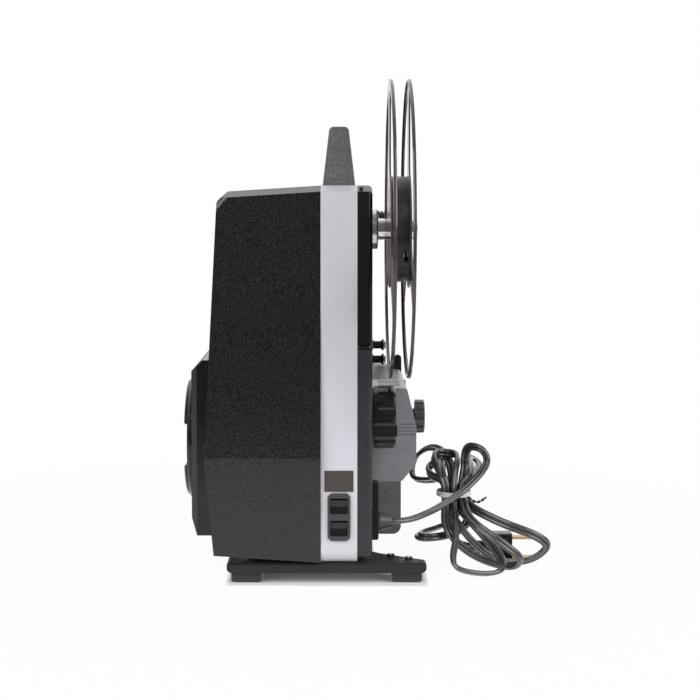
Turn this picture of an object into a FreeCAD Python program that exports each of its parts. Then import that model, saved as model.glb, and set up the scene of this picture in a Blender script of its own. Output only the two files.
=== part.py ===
import FreeCAD, Part
import math
import os

import Sketcher

# Table-top Super 8 movie projector, in millimetres.
# +X is the operator's side, +Y the way the picture is thrown, +Z up.
# The origin lies under the middle of the projector's box, on the table.

os.makedirs("parts", exist_ok=True)
doc = FreeCAD.newDocument("MovieProjector")
sheet = doc.addObject("Spreadsheet::Sheet", "Sizes")

SIZES = {
    # where the band's middle plane and rear face stand from the origin
    "origin_x": 21.875,
    "origin_y": -85.5,
    # clearances: seated, running, and between moving pieces
    "seat_gap": 0.2,
    "running_gap": 0.08,
    "moving_gap": 0.3,
    # chassis band
    "band_width": 21.5,
    "body_length": 236.0,
    "body_height": 223.4,
    "band_wall": 2.2,
    "body_corner": 9.0,
    "rear_top_drop": 3.6,
    "rear_top_depth": 13.0,
    # mechanism plate inside the band
    "mech_plate_x": 3.5,
    "mech_plate_thick": 2.5,
    # motor cover, its reaches measured from the band's middle plane
    "ridge_reach": 79.3,
    "shoulder_reach": 71.7,
    "cover_top_reach": 66.4,
    "cover_foot_reach": 74.0,
    "ridge_height": 76.0,
    "shoulder_drop": 9.5,
    "cover_top_drop": 3.5,
    "cover_foot_gap": 1.0,
    "cover_foot_rise": 4.1,
    "cover_wall": 2.5,
    "cover_round": 4.0,
    "ridge_bulge": 3.0,
    "cover_top_inset": 2.5,
    # fan cowl and vent grille
    "cowl_start": 38.0,
    "cowl_length": 128.0,
    "cowl_top": 129.6,
    "cowl_bottom": 21.5,
    "cowl_reach": 90.6,
    "cowl_slope": 7.0,
    "cowl_wall": 2.0,
    "grille_radius": 40.5,
    "grille_drop": 5.0,
    "grille_stand": 5.1,
    "grille_wall": 1.6,
    "grille_lip": 3.0,
    "grille_edge": 1.4,
    "grille_band": 26.0,
    "grille_pad_rise": 2.1,
    "grille_pad_edge": 0.9,
    "louvre_height": 3.2,
    "louvre_pitch": 6.2,
    "louvre_margin": 2.4,
    # side panels on the operator's side
    "panel_thick": 8.9,
    "panel_bottom": 17.4,
    "panel_seam": 142.0,
    "seam_gap": 0.6,
    "panel_wall": 2.0,
    "panel_round": 2.6,
    # carry handle
    "handle_start": 28.0,
    "handle_setback": 28.0,
    "handle_foot_width": 19.6,
    "handle_top_width": 11.5,
    "handle_height": 36.0,
    "handle_slope": 14.0,
    "handle_foot_thick": 5.0,
    "handle_post": 30.0,
    "grip_thick": 15.0,
    "handle_round": 3.0,
    "handle_gap_round": 5.0,
    # spindles and their flanges
    "spindle_height": 210.0,
    "takeup_y": 21.0,
    "supply_setback": 25.0,
    "spindle_radius": 6.35,
    "spindle_shaft_radius": 3.0,
    "spindle_tip": 46.6,
    "spindle_collar": 3.0,
    "spindle_flange_radius": 12.0,
    "spindle_flange_thick": 3.4,
    "flange_edge": 0.8,
    "flange_screw_circle": 9.4,
    "flange_screw_radius": 1.4,
    "flange_screw_head": 1.2,
    "flange_screw_stand": 0.5,
    "screw_slot": 0.6,
    "screw_slot_depth": 0.7,
    "key_width": 1.8,
    "key_rise": 0.9,
    # grooved collar on the supply spindle
    "supply_collar_x": 28.3,
    "supply_collar_length": 7.2,
    "collar_radius": 9.0,
    "collar_seat_radius": 5.4,
    "collar_groove": 1.0,
    # take-up reel
    "reel_radius": 89.0,
    "reel_plane": 29.7,
    "reel_sheet": 1.0,
    "film_width": 10.4,
    "rim_width": 6.0,
    "rim_bead": 0.9,
    "spoke_width": 17.0,
    "spoke_round": 7.0,
    "flange_centre_margin": 3.5,
    "flange_bore": 8.2,
    "hub_radius": 31.5,
    "hub_wall": 2.4,
    "hub_boss_radius": 10.5,
    "hub_slot_width": 2.4,
    "hub_slot_length": 7.0,
    # rollers and deflector
    "roller_y": 60.0,
    "roller_one_height": 137.0,
    "roller_two_height": 127.9,
    "roller_radius": 3.5,
    "roller_waist": 2.4,
    "roller_length": 8.0,
    "roller_flange": 0.9,
    "roller_pin_radius": 1.2,
    "deflector_gap": 0.4,
    "deflector_sag": 6.0,
    "deflector_thick": 1.4,
    "deflector_length": 24.0,
    "deflector_reach": 10.5,
    # control knob and its shaft
    "knob_y": 24.0,
    "knob_height": 96.7,
    "knob_radius": 18.7,
    "knob_thick": 12.9,
    "knob_stand": 1.3,
    "knob_edge": 1.4,
    "knob_skirt": 2.4,
    "knob_shaft_radius": 3.0,
    "knob_detent_thick": 2.0,
    "knob_bar_drop": 0.32,
    "knob_bar_rise": 0.6,
    "knob_bar_width": 5.6,
    "flute_radius": 3.2,
    # lamphouse cover, its reaches measured from the side panel's face
    "lamphouse_y": 45.0,
    "lamphouse_length": 104.0,
    "lamphouse_top": 111.6,
    "lamphouse_bottom": 53.8,
    "lamphouse_top_reach": 22.2,
    "lamphouse_reach": 28.1,
    "lamphouse_slope_end": 88.0,
    "lamphouse_foot_reach": 19.2,
    "lamphouse_foot_rise": 11.0,
    "lamphouse_wall": 1.8,
    "lamphouse_round": 3.0,
    "rib_height": 82.4,
    "rib_pitch": 2.15,
    "rib_depth": 0.5,
    "vent_margin": 12.0,
    "vent_pitch": 7.0,
    "vent_width": 3.0,
    # thumbscrew that clamps the lamphouse cover
    "lamp_knob_y": 75.0,
    "lamp_knob_height": 90.0,
    "lamp_knob_radius": 10.5,
    "lamp_knob_thick": 6.0,
    "lamp_knob_groove": 1.6,
    "lamp_boss_radius": 5.0,
    "lamp_boss_length": 4.5,
    "lamp_screw_radius": 2.0,
    "lamp_screw_end": 1.6,
    # film channel under the lamphouse
    "channel_reach": 18.6,
    "channel_bottom": 21.0,
    "channel_wall": 1.8,
    "channel_round": 5.0,
    # lamp, socket and condenser
    "lamp_y": 72.0,
    "reflector_radius": 11.0,
    "bulb_radius": 4.0,
    "bulb_base": 6.0,
    "socket_length": 8.0,
    "condenser_y": 108.0,
    "condenser_radius": 9.5,
    "condenser_wall": 1.6,
    "condenser_thick": 6.0,
    "ring_corner": 5.6,
    # optical axis, gate and its lever
    "axis_reach": 14.2,
    "axis_height": 83.0,
    "gate_start": 151.0,
    "gate_thick": 5.0,
    "gate_bottom": 56.0,
    "gate_top": 104.0,
    "gate_reach": 26.0,
    "gate_pin_reach": 5.0,
    "gate_pin_rise": 12.0,
    "gate_pin_radius": 1.2,
    "film_track": 8.2,
    "film_track_depth": 0.4,
    "aperture_width": 5.6,
    "aperture_height": 4.2,
    "pressure_thick": 2.0,
    "pressure_rise": 16.0,
    "pressure_travel": 4.0,
    "lever_y": 167.4,
    "lever_pivot_height": 103.0,
    "lever_reach": 18.4,
    "lever_thick": 5.2,
    "lever_top": 119.6,
    "lever_hub_radius": 3.6,
    "lever_arm_width": 5.0,
    "lever_pin_radius": 1.5,
    # lens, its carrier and the focus knob
    "lens_radius": 11.0,
    "lens_wall": 2.0,
    "lens_length": 58.0,
    "lens_start": 176.0,
    "glass_thick": 5.0,
    "carrier_start": 173.0,
    "carrier_length": 45.0,
    "carrier_wall": 2.4,
    "pinion_radius": 2.7,
    "pinion_length": 8.0,
    "focus_shaft_radius": 1.5,
    "focus_knob_radius": 8.5,
    "focus_knob_thick": 5.0,
    "focus_flute": 1.2,
    # sprocket
    "sprocket_y": 166.0,
    "sprocket_height": 40.0,
    "sprocket_reach": 5.0,
    "sprocket_length": 13.0,
    "sprocket_radius": 7.0,
    "sprocket_shaft_radius": 2.5,
    "tooth_size": 1.1,
    # cord inlet strip and strain relief
    "strip_thick": 4.0,
    "strip_bottom": 25.0,
    "strip_height": 34.0,
    "strip_y": 10.0,
    "strip_length": 12.0,
    "strip_round": 0.8,
    "relief_height": 35.2,
    "relief_length": 8.0,
    "relief_radius": 5.7,
    "relief_tip_radius": 3.9,
    # rocker switches, their escutcheon and case
    "switch_height": 41.0,
    "switch_depth": 13.0,
    "escutcheon_width": 13.4,
    "escutcheon_height": 28.2,
    "escutcheon_thick": 1.4,
    "escutcheon_lip": 1.1,
    "rocker_width": 9.6,
    "rocker_height": 7.6,
    "rocker_pitch": 13.2,
    "rocker_depth": 6.0,
    "rocker_swing_gap": 0.7,
    "rocker_pivot_y": 3.4,
    "rocker_pin_radius": 0.9,
    "rocker_pin_length": 1.4,
    "rocker_stand": 3.0,
    "rocker_back": 2.6,
    "rocker_dish": 1.0,
    # bare plate above the switches
    "label_width": 17.0,
    "label_height": 12.4,
    "label_thick": 0.5,
    "label_centre": 62.2,
    # base plate and feet
    "foot_height": 6.5,
    "base_thick": 6.1,
    "base_floor": 2.2,
    "base_rear": 4.0,
    "base_left_reach": 66.6,
    "base_right_reach": 51.9,
    "front_right_reach": 40.0,
    "base_wing_depth": 26.0,
    "base_wing_slope": 8.0,
    "base_pan_left": 58.0,
    "base_pan_right": 18.0,
    "base_rim": 3.0,
    "base_end_margin": 9.0,
    "base_edge": 1.2,
    "base_screw_radius": 2.3,
    "base_screw_seat": 0.6,
    "base_screw_stand": 1.3,
    "base_screw_one_x": 31.3,
    "base_screw_one_y": 21.5,
    "base_screw_two_x": 41.8,
    "base_screw_two_y": 14.8,
    "foot_length": 18.0,
    "foot_depth": 16.0,
    "foot_inset": 2.6,
    "foot_chamfer": 1.4,
    # tilt leg and its guide at the front
    "leg_x": -4.0,
    "leg_setback": 22.0,
    "leg_radius": 5.0,
    "leg_length": 60.0,
    "leg_pad_radius": 9.0,
    "leg_pad_thick": 4.0,
    "leg_pad_gap": 1.6,
    "leg_guide_wall": 1.6,
    "leg_guide_length": 34.0,
    # motor and fan
    "motor_height": 78.0,
    "motor_y": 102.0,
    "motor_radius": 30.0,
    "motor_length": 42.0,
    "motor_end_reach": 11.0,
    "motor_cap": 4.0,
    "motor_shaft_radius": 2.5,
    "motor_post_circle": 21.5,
    "motor_post_radius": 3.0,
    "motor_post_turn": 62.195734,
    "motor_fan_gap": 3.0,
    "fan_radius": 34.0,
    "fan_rim": 6.0,
    "fan_inlet_radius": 24.0,
    "fan_width": 11.0,
    # belt drive, main shaft and shutter
    "motor_pulley_radius": 4.5,
    "main_pulley_radius": 14.0,
    "pulley_width": 5.0,
    "pulley_gap": 2.5,
    "belt_thick": 1.6,
    "belt_margin": 0.5,
    "main_shaft_y": 124.0,
    "main_shaft_radius": 2.0,
    "bevel_radius": 4.2,
    "shutter_x": 12.0,
    "shutter_y": 144.0,
    "shutter_radius": 26.0,
    "shutter_thick": 0.8,
    "shutter_gap": 1.0,
    "shutter_hub": 7.0,
    "shutter_shaft_radius": 1.6,
    "bearing_y": 131.0,
    "bearing_length": 8.0,
    "bearing_half": 4.0,
    # transformer and its bracket
    "transformer_y": 18.0,
    "transformer_bottom": 18.0,
    "transformer_offset": 1.5,
    "transformer_length": 50.0,
    "transformer_width": 40.0,
    "transformer_height": 46.0,
    # power cord and plug
    "cord_width": 4.4,
    "plug_x": 86.0,
    "plug_y": 58.0,
    "plug_centre": 9.8,
    "plug_length": 22.0,
    "plug_thick": 13.0,
    "plug_height": 19.0,
    "plug_collar_length": 5.0,
    "plug_collar_radius": 4.2,
    "plug_round": 2.5,
    "blade_length": 15.0,
    "blade_width": 6.3,
    "blade_thick": 1.5,
    "blade_spacing": 12.7,
    "tie_radius": 10.8,
    "tie_height": 3.0,
    "tie_thick": 0.8,
}


class Size:
    """A length with its value and the cell expression that gives it."""

    def __init__(self, value, text):
        self.value = value
        self.text = text

    def __add__(self, other):
        other = as_size(other)
        return Size(self.value + other.value, "(" + self.text + " + " + other.text + ")")

    def __sub__(self, other):
        other = as_size(other)
        return Size(self.value - other.value, "(" + self.text + " - " + other.text + ")")

    def __mul__(self, other):
        other = as_size(other)
        return Size(self.value * other.value, "(" + self.text + " * " + other.text + ")")

    def __truediv__(self, other):
        other = as_size(other)
        return Size(self.value / other.value, "(" + self.text + " / " + other.text + ")")

    def __neg__(self):
        return Size(-self.value, "(0 - " + self.text + ")")

    __radd__ = __add__

    def __rsub__(self, other):
        return as_size(other) - self

    __rmul__ = __mul__


def as_size(number):
    if isinstance(number, Size):
        return number
    return Size(float(number), repr(float(number)))


class Cells:
    """The sheet's cells by name."""


S = Cells()
for row, (name, number) in enumerate(SIZES.items(), start=1):
    sheet.set("A" + str(row), name)
    sheet.set("B" + str(row), str(number))
    sheet.setAlias("B" + str(row), name)
    setattr(S, name, Size(number, "Sizes." + name))
doc.recompute()

nodes = []


# Helpers: binding, sketches and features

def bind(thing, path, size):
    """Gives a property the size's value, and its expression where it has one."""
    size = as_size(size)
    if "Sizes." in size.text:
        thing.setExpression(path, size.text)
    elif "." not in path:
        setattr(thing, path, size.value)
    elif size.value:
        thing.setExpression(path, size.text)


def place(thing, x=0, y=0, z=0, rotation=None):
    """Stands a piece at a place measured from the band's middle plane and rear face."""
    x = as_size(x) + S.origin_x
    y = as_size(y) + S.origin_y
    z = as_size(z)
    base = FreeCAD.Vector(x.value, y.value, z.value)
    thing.Placement = FreeCAD.Placement(base, rotation or FreeCAD.Rotation())
    bind(thing, "Placement.Base.x", x)
    bind(thing, "Placement.Base.y", y)
    bind(thing, "Placement.Base.z", z)


def as_node(thing, label):
    thing.Label = label
    nodes.append(thing)
    return thing


def new_body(label):
    return as_node(doc.addObject("PartDesign::Body", label), label)


ROLES = {"plan": ("XY_Plane", 1), "rear": ("XZ_Plane", -1), "side": ("YZ_Plane", 1)}


def sketch(body, view, at=0):
    """A sketch seen in plan, from the rear or from the side, at a place along its normal."""
    role, sign = ROLES[view]
    made = body.newObject("Sketcher::SketchObject", view + "_sketch")
    plane = [f for f in body.Origin.OriginFeatures if f.Role == role][0]
    made.AttachmentSupport = [(plane, "")]
    made.MapMode = "FlatFace"
    bind(made, "AttachmentOffset.Base.z", as_size(at) * sign)
    made.addProperty("App::PropertyInteger", "NormalSign")
    made.NormalSign = sign
    return made


def fix_point(made, line, corner, x, y):
    """Holds one point of a sketch at two sizes from the sketch's origin."""
    for kind, axis, size in (("DistanceX", -2, as_size(x)), ("DistanceY", -1, as_size(y))):
        if size.value == 0:
            made.addConstraint(Sketcher.Constraint("PointOnObject", line, corner, axis))
            continue
        index = made.addConstraint(Sketcher.Constraint(kind, -1, 1, line, corner, size.value))
        if "Sizes." in size.text:
            made.setExpression("Constraints[" + str(index) + "]", size.text)


def outline(made, points):
    """A closed run through points; one with four numbers starts an arc through the last two."""
    count = len(points)
    first = made.GeometryCount
    corners = [flat_point(point[0], point[1]) for point in points]
    for i in range(count):
        start = corners[i]
        end = corners[(i + 1) % count]
        if len(points[i]) == 4:
            middle = flat_point(points[i][2], points[i][3])
            made.addGeometry(Part.Arc(start, middle, end), False)
        else:
            made.addGeometry(Part.LineSegment(start, end), False)
    ends = []
    for i in range(count):
        curve = made.Geometry[first + i]
        flipped = len(points[i]) == 4 and curve.StartPoint.distanceToPoint(corners[i]) > 1e-6
        ends.append((2, 1) if flipped else (1, 2))
    for i in range(count):
        following = (i + 1) % count
        joint = Sketcher.Constraint(
            "Coincident", first + i, ends[i][1], first + following, ends[following][0])
        made.addConstraint(joint)
    for i in range(count):
        fix_point(made, first + i, ends[i][0], points[i][0], points[i][1])
        if len(points[i]) == 4:
            mark = made.addGeometry(Part.Point(flat_point(points[i][2], points[i][3])), True)
            made.addConstraint(Sketcher.Constraint("PointOnObject", mark, 1, first + i))
            fix_point(made, mark, 1, points[i][2], points[i][3])


def flat_point(x, y):
    return FreeCAD.Vector(as_size(x).value, as_size(y).value, 0)


def box_outline(made, x0, x1, y0, y1):
    outline(made, [(x0, y0), (x1, y0), (x1, y1), (x0, y1)])


def circle(made, x, y, radius):
    radius = as_size(radius)
    centre = FreeCAD.Vector(as_size(x).value, as_size(y).value, 0)
    line = made.addGeometry(Part.Circle(centre, FreeCAD.Vector(0, 0, 1), radius.value), False)
    index = made.addConstraint(Sketcher.Constraint("Radius", line, radius.value))
    if "Sizes." in radius.text:
        made.setExpression("Constraints[" + str(index) + "]", radius.text)
    fix_point(made, line, 3, x, y)


def pad(body, made, length, along=1):
    feature = body.newObject("PartDesign::Pad", "Pad")
    feature.Profile = made
    bind(feature, "Length", length)
    feature.Reversed = along != made.NormalSign
    made.Visibility = False
    return feature


def cut(body, made, depth, along=1):
    """A pocket that must take something away."""
    doc.recompute()
    before = body.Shape.Volume
    feature = body.newObject("PartDesign::Pocket", "Pocket")
    feature.Profile = made
    bind(feature, "Length", depth)
    feature.Reversed = along == made.NormalSign
    doc.recompute()
    if not feature.Shape.isValid() or feature.Shape.Volume > before - 0.01:
        raise RuntimeError(body.Label + ": a pocket cuts nothing")
    return feature


def turn(body, view, points, axis):
    """A revolved outline: points are pairs in the sketch, axis is H_Axis or V_Axis."""
    made = sketch(body, view)
    outline(made, points)
    feature = body.newObject("PartDesign::Revolution", "Revolution")
    feature.Profile = made
    feature.ReferenceAxis = (made, [axis])
    feature.Angle = 360
    return feature


def turned_x(label, stations):
    """A piece turned about the X axis, from pairs of place along X and radius."""
    body = new_body(label)
    turn(body, "plan", stations, "H_Axis")
    return body


def turned_y(label, stations):
    """A piece turned about the Y axis, from pairs of place along Y and radius."""
    body = new_body(label)
    turn(body, "plan", [(radius, along) for along, radius in stations], "V_Axis")
    return body


def turned_z(label, stations):
    """A piece turned about the Z axis, from pairs of height and radius."""
    body = new_body(label)
    turn(body, "rear", [(radius, along) for along, radius in stations], "V_Axis")
    return body


def ring_pattern(body, features, made, count):
    """Repeats features round the normal of a sketch."""
    pattern = body.newObject("PartDesign::PolarPattern", "PolarPattern")
    pattern.Originals = features
    pattern.Axis = (made, ["N_Axis"])
    pattern.Angle = 360
    pattern.Occurrences = count
    body.Tip = pattern
    doc.recompute()
    return pattern


def edges_where(body, test):
    doc.recompute()
    names = []
    for number, edge in enumerate(body.Tip.Shape.Edges, start=1):
        if edge.Vertexes and test(edge.Vertexes[0].Point, edge.Vertexes[-1].Point):
            names.append("Edge" + str(number))
    return names


def runs_along(a, b, axis):
    """True for an edge between two points that runs along x, y or z."""
    gaps = {"x": abs(a.x - b.x), "y": abs(a.y - b.y), "z": abs(a.z - b.z)}
    across = [gaps[name] for name in gaps if name != axis]
    return gaps[axis] > 0.05 and max(across) < 0.01


def half_chord(reach, away):
    """Half the width of a circle at a distance from its centre."""
    value = math.sqrt(reach.value ** 2 - away.value ** 2)
    return Size(value, "sqrt(pow(" + reach.text + "; 2) - pow(" + away.text + "; 2))")


def round_edges(body, test, radius, kind="Fillet"):
    names = edges_where(body, test)
    if not names:
        raise RuntimeError(body.Label + ": no edge to round")
    feature = body.newObject("PartDesign::" + kind, kind)
    feature.Base = (body.Tip if body.Tip is not feature else feature.BaseFeature, names)
    bind(feature, "Radius" if kind == "Fillet" else "Size", radius)
    return feature


def slope_edge(body, test, size, size_two):
    """A chamfer with its own depth on each of the edge's two faces."""
    feature = round_edges(body, test, size, "Chamfer")
    feature.ChamferType = "Two distances"
    bind(feature, "Size2", size_two)
    return feature




# Places that several pieces share

half_band = S.band_width / 2
base_top = S.foot_height + S.base_thick
body_top = base_top + S.body_height
panel_face = half_band + S.panel_thick
shoulder_z = body_top - S.shoulder_drop
cover_foot_z = base_top + S.cover_foot_gap
cover_side_foot_z = cover_foot_z + S.cover_foot_rise
axis_x = panel_face + S.axis_reach
mech_face = S.mech_plate_x + S.mech_plate_thick
spindle_root = panel_face + S.spindle_flange_thick + S.moving_gap
lens_bore = S.lens_radius + S.running_gap
focus_height = S.axis_height - S.lens_radius - S.pinion_radius - S.moving_gap
focus_y = S.carrier_start + S.carrier_length / 2
supply_y = S.body_length - S.supply_setback
leg_y = S.body_length - S.leg_setback


def cover_side(z):
    """How far the motor cover's side stands out at a height between its foot and shoulder."""
    if z.value > S.ridge_height.value:
        share = (z - S.ridge_height) / (shoulder_z - S.ridge_height)
        return S.ridge_reach + (S.shoulder_reach - S.ridge_reach) * share
    share = (S.ridge_height - z) / (S.ridge_height - cover_side_foot_z)
    return S.ridge_reach + (S.cover_foot_reach - S.ridge_reach) * share


# Chassis

def band_outline(made, inset):
    """The body's side outline, set in from the band's outer faces."""
    rear = as_size(inset)
    front = S.body_length - inset
    low = base_top + inset
    high = body_top - inset
    corner = S.body_corner - inset
    bulge = corner * (1 - math.sqrt(0.5))
    outline(made, [
        (rear + corner, low),
        (front - corner, low, front - bulge, low + bulge),
        (front, low + corner),
        (front, high - corner, front - bulge, high - bulge),
        (front - corner, high),
        (rear + S.rear_top_depth, high),
        (rear, high - S.rear_top_drop),
        (rear, low + corner, rear + bulge, low + bulge),
    ])


def chassis_band():
    body = new_body("chassis_band")
    made = sketch(body, "side", -half_band)
    band_outline(made, 0)
    pad(body, made, S.band_width)
    inner = sketch(body, "side", -half_band)
    band_outline(inner, S.band_wall)
    cut(body, inner, S.band_width)
    window = sketch(body, "rear", 0)
    half_window = S.escutcheon_width / 2 - S.escutcheon_lip
    rise = S.escutcheon_height / 2 - S.escutcheon_lip
    box_outline(window, -half_window, half_window, S.switch_height - rise, S.switch_height + rise)
    cut(body, window, S.band_wall)
    leg_hole = sketch(body, "plan", base_top)
    circle(leg_hole, S.leg_x, leg_y, S.leg_radius + S.running_gap)
    cut(body, leg_hole, S.band_wall)
    guide = sketch(body, "plan", base_top + S.band_wall)
    circle(guide, S.leg_x, leg_y, S.leg_radius + S.running_gap)
    circle(guide, S.leg_x, leg_y, S.leg_radius + S.leg_guide_wall)
    pad(body, guide, S.leg_guide_length)
    place(body)


def mechanism_plate():
    body = new_body("mechanism_plate")
    inset = S.band_wall + S.seat_gap
    made = sketch(body, "side", S.mech_plate_x)
    band_outline(made, inset)
    pad(body, made, S.mech_plate_thick)
    holes = sketch(body, "side", S.mech_plate_x)
    bore = S.running_gap
    circle(holes, S.takeup_y, S.spindle_height, S.spindle_shaft_radius + bore)
    circle(holes, supply_y, S.spindle_height, S.spindle_shaft_radius + bore)
    circle(holes, S.knob_y, S.knob_height, S.knob_shaft_radius + bore)
    circle(holes, S.main_shaft_y, S.axis_height, S.main_shaft_radius + bore)
    circle(holes, S.sprocket_y, S.sprocket_height, S.sprocket_shaft_radius + bore)
    cut(body, holes, S.mech_plate_thick)
    slot = sketch(body, "side", S.mech_plate_x)
    slot_for_shutter(slot)
    box_outline(slot, 0, S.band_wall + S.switch_depth + 1, S.switch_height - S.escutcheon_height / 2 - 1,
                S.switch_height + S.escutcheon_height / 2 + 1)
    cut(body, slot, S.mech_plate_thick)
    bearing = sketch(body, "rear", S.bearing_y)
    half = S.bearing_half
    box_outline(bearing, mech_face, S.shutter_x + half, S.axis_height - half, S.axis_height + half)
    circle(bearing, S.shutter_x, S.axis_height, S.shutter_shaft_radius + S.running_gap)
    pad(body, bearing, S.bearing_length)
    place(body)


def slot_for_shutter(made):
    """The upright slot that the shutter disc turns in."""
    side = S.shutter_thick / 2 + S.shutter_gap
    rise = S.shutter_radius + S.shutter_gap
    box_outline(made, S.shutter_y - side, S.shutter_y + side, S.axis_height - rise, S.axis_height + rise)


def motor_cover():
    body = new_body("motor_cover")
    made = sketch(body, "rear", -S.ridge_bulge)
    outline(made, [
        (-half_band, cover_foot_z),
        (-half_band, body_top),
        (-S.cover_top_reach, body_top - S.cover_top_drop),
        (-S.shoulder_reach, shoulder_z),
        (-S.ridge_reach, S.ridge_height),
        (-S.cover_foot_reach, cover_side_foot_z),
    ])
    pad(body, made, S.body_length + S.ridge_bulge * 2)
    trim_cover_ends(body)
    top_z = shoulder_z.value + 1
    top_y = S.cover_top_inset.value * 2

    def rear_top_edge(a, b):
        return abs(a.x - b.x) > 20 and min(a.z, b.z) > top_z and max(a.y, b.y) < top_y

    slope_edge(body, rear_top_edge, S.rear_top_depth, S.rear_top_drop)
    edge_x = -S.cover_top_reach.value + 1

    def shoulder_edge(a, b):
        return max(a.x, b.x) < edge_x and min(a.z, b.z) > S.ridge_height.value + 5

    round_edges(body, shoulder_edge, S.cover_round)
    wall = S.cover_wall
    roof = S.rear_top_drop + wall / 2
    inside = sketch(body, "rear", S.cover_top_inset + wall)
    outline(inside, [
        (-half_band, cover_foot_z + wall),
        (-half_band, body_top - roof),
        (-S.cover_top_reach + wall, body_top - S.cover_top_drop - roof),
        (-S.shoulder_reach + wall, shoulder_z - wall),
        (-S.ridge_reach + wall, S.ridge_height),
        (-S.cover_foot_reach + wall, cover_side_foot_z + wall / 2),
        (-S.cover_foot_reach + wall * 2, cover_foot_z + wall * 2),
    ])
    cut(body, inside, S.body_length - (S.cover_top_inset + wall) * 2)
    inlet = sketch(body, "side", -S.ridge_reach)
    circle(inlet, cowl_middle_y, S.motor_height, S.fan_radius)
    cut(body, inlet, wall * 2)
    place(body)


def trim_cover_ends(body):
    """Slopes the rear and front walls back from the ridge."""
    reach = S.ridge_reach + S.cover_wall
    margin = S.ridge_bulge * 3
    for rear in (True, False):
        made = sketch(body, "side", -reach)

        def across(y):
            return y if rear else S.body_length - y

        outline(made, [
            (across(-S.ridge_bulge), S.ridge_height),
            (across(S.cover_top_inset), body_top),
            (across(S.cover_top_inset), body_top + margin),
            (across(-margin), body_top + margin),
            (across(-margin), S.ridge_height),
        ])
        cut(body, made, reach)
        made = sketch(body, "side", -reach)
        outline(made, [
            (across(-S.ridge_bulge), S.ridge_height),
            (across(-margin), S.ridge_height),
            (across(-margin), cover_foot_z - margin),
            (across(S.seat_gap), cover_foot_z - margin),
            (across(S.seat_gap), cover_foot_z),
        ])
        cut(body, made, reach)


# Fan cowl and its grille on the motor cover's side

cowl_middle_y = S.cowl_start + S.cowl_length / 2
grille_height = S.motor_height - S.grille_drop


def fan_cowl():
    body = new_body("fan_cowl")
    made = sketch(body, "rear", S.cowl_start)
    outline(made, [
        (-cover_side(S.cowl_top), S.cowl_top),
        (-(S.cowl_reach - S.cowl_slope), S.cowl_top),
        (-S.cowl_reach, S.cowl_top - S.cowl_slope),
        (-S.cowl_reach, S.cowl_bottom + S.cowl_slope * 1.5),
        (-(S.cowl_reach - S.cowl_slope / 2), S.cowl_bottom),
        (-cover_side(S.cowl_bottom), S.cowl_bottom),
        (-S.ridge_reach, S.ridge_height),
    ])
    pad(body, made, S.cowl_length)
    front = (S.cowl_start + S.cowl_length).value
    rear = S.cowl_start.value

    def end_edge(a, b):
        at_end = abs(a.y - front) < 0.01 or abs(a.y - rear) < 0.01
        return at_end and abs(a.y - b.y) < 0.01 and max(a.x, b.x) < -S.cowl_reach.value + 0.01

    round_edges(body, end_edge, S.cowl_slope / 2, "Chamfer")

    wall = S.cowl_wall
    inside = sketch(body, "rear", S.cowl_start + wall)
    outline(inside, [
        (-cover_side(S.cowl_top - wall), S.cowl_top - wall),
        (-(S.cowl_reach - S.cowl_slope - wall), S.cowl_top - wall),
        (-S.cowl_reach + wall, S.cowl_top - S.cowl_slope - wall),
        (-S.cowl_reach + wall, S.cowl_bottom + S.cowl_slope * 1.5 + wall),
        (-(S.cowl_reach - S.cowl_slope / 2 - wall), S.cowl_bottom + wall),
        (-cover_side(S.cowl_bottom + wall), S.cowl_bottom + wall),
        (-S.ridge_reach, S.ridge_height),
    ])
    cut(body, inside, S.cowl_length - wall * 2)
    hole = sketch(body, "side", -S.cowl_reach)
    circle(hole, cowl_middle_y, grille_height, S.grille_radius - S.grille_lip)
    cut(body, hole, S.cowl_wall * 1.5)
    place(body)


def vent_grille():
    """A hollow disc with a plain middle band between two raised fields of louvres."""
    body = new_body("vent_grille")
    seat = -S.cowl_reach
    face = seat - S.grille_stand
    rim = S.grille_radius
    edge = S.grille_edge
    section = [(seat, 0), (seat, rim), (face + edge, rim), (face, rim - edge), (face, 0)]
    turn(body, "plan", section, "H_Axis")
    half = S.grille_band / 2
    reach = rim - S.grille_lip
    corner = half_chord(reach, half)
    crown = face - S.grille_pad_rise
    fields = sketch(body, "side", face)
    outline(fields, [(-corner, half), (corner, half, 0, reach)])
    outline(fields, [(corner, -half), (-corner, -half, 0, -reach)])
    pad(body, fields, S.grille_pad_rise, along=-1)

    def crown_edge(a, b):
        return max(a.x, b.x) < crown.value + 0.01

    round_edges(body, crown_edge, S.grille_pad_edge, "Chamfer")
    inside = sketch(body, "side", seat)
    circle(inside, 0, 0, reach)
    cut(body, inside, S.grille_stand - S.grille_wall, along=-1)
    louvres = sketch(body, "side", crown)
    low = half + S.louvre_margin
    while (low + S.louvre_height).value < reach.value - 2 * S.louvre_margin.value:
        high = low + S.louvre_height
        across = half_chord(reach - S.louvre_margin, high)
        box_outline(louvres, -across, across, low, high)
        box_outline(louvres, -across, across, -high, -low)
        low = low + S.louvre_pitch
    cut(body, louvres, S.grille_pad_rise + S.grille_wall + 1)
    place(body, 0, cowl_middle_y, grille_height)


# Side panels

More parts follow.
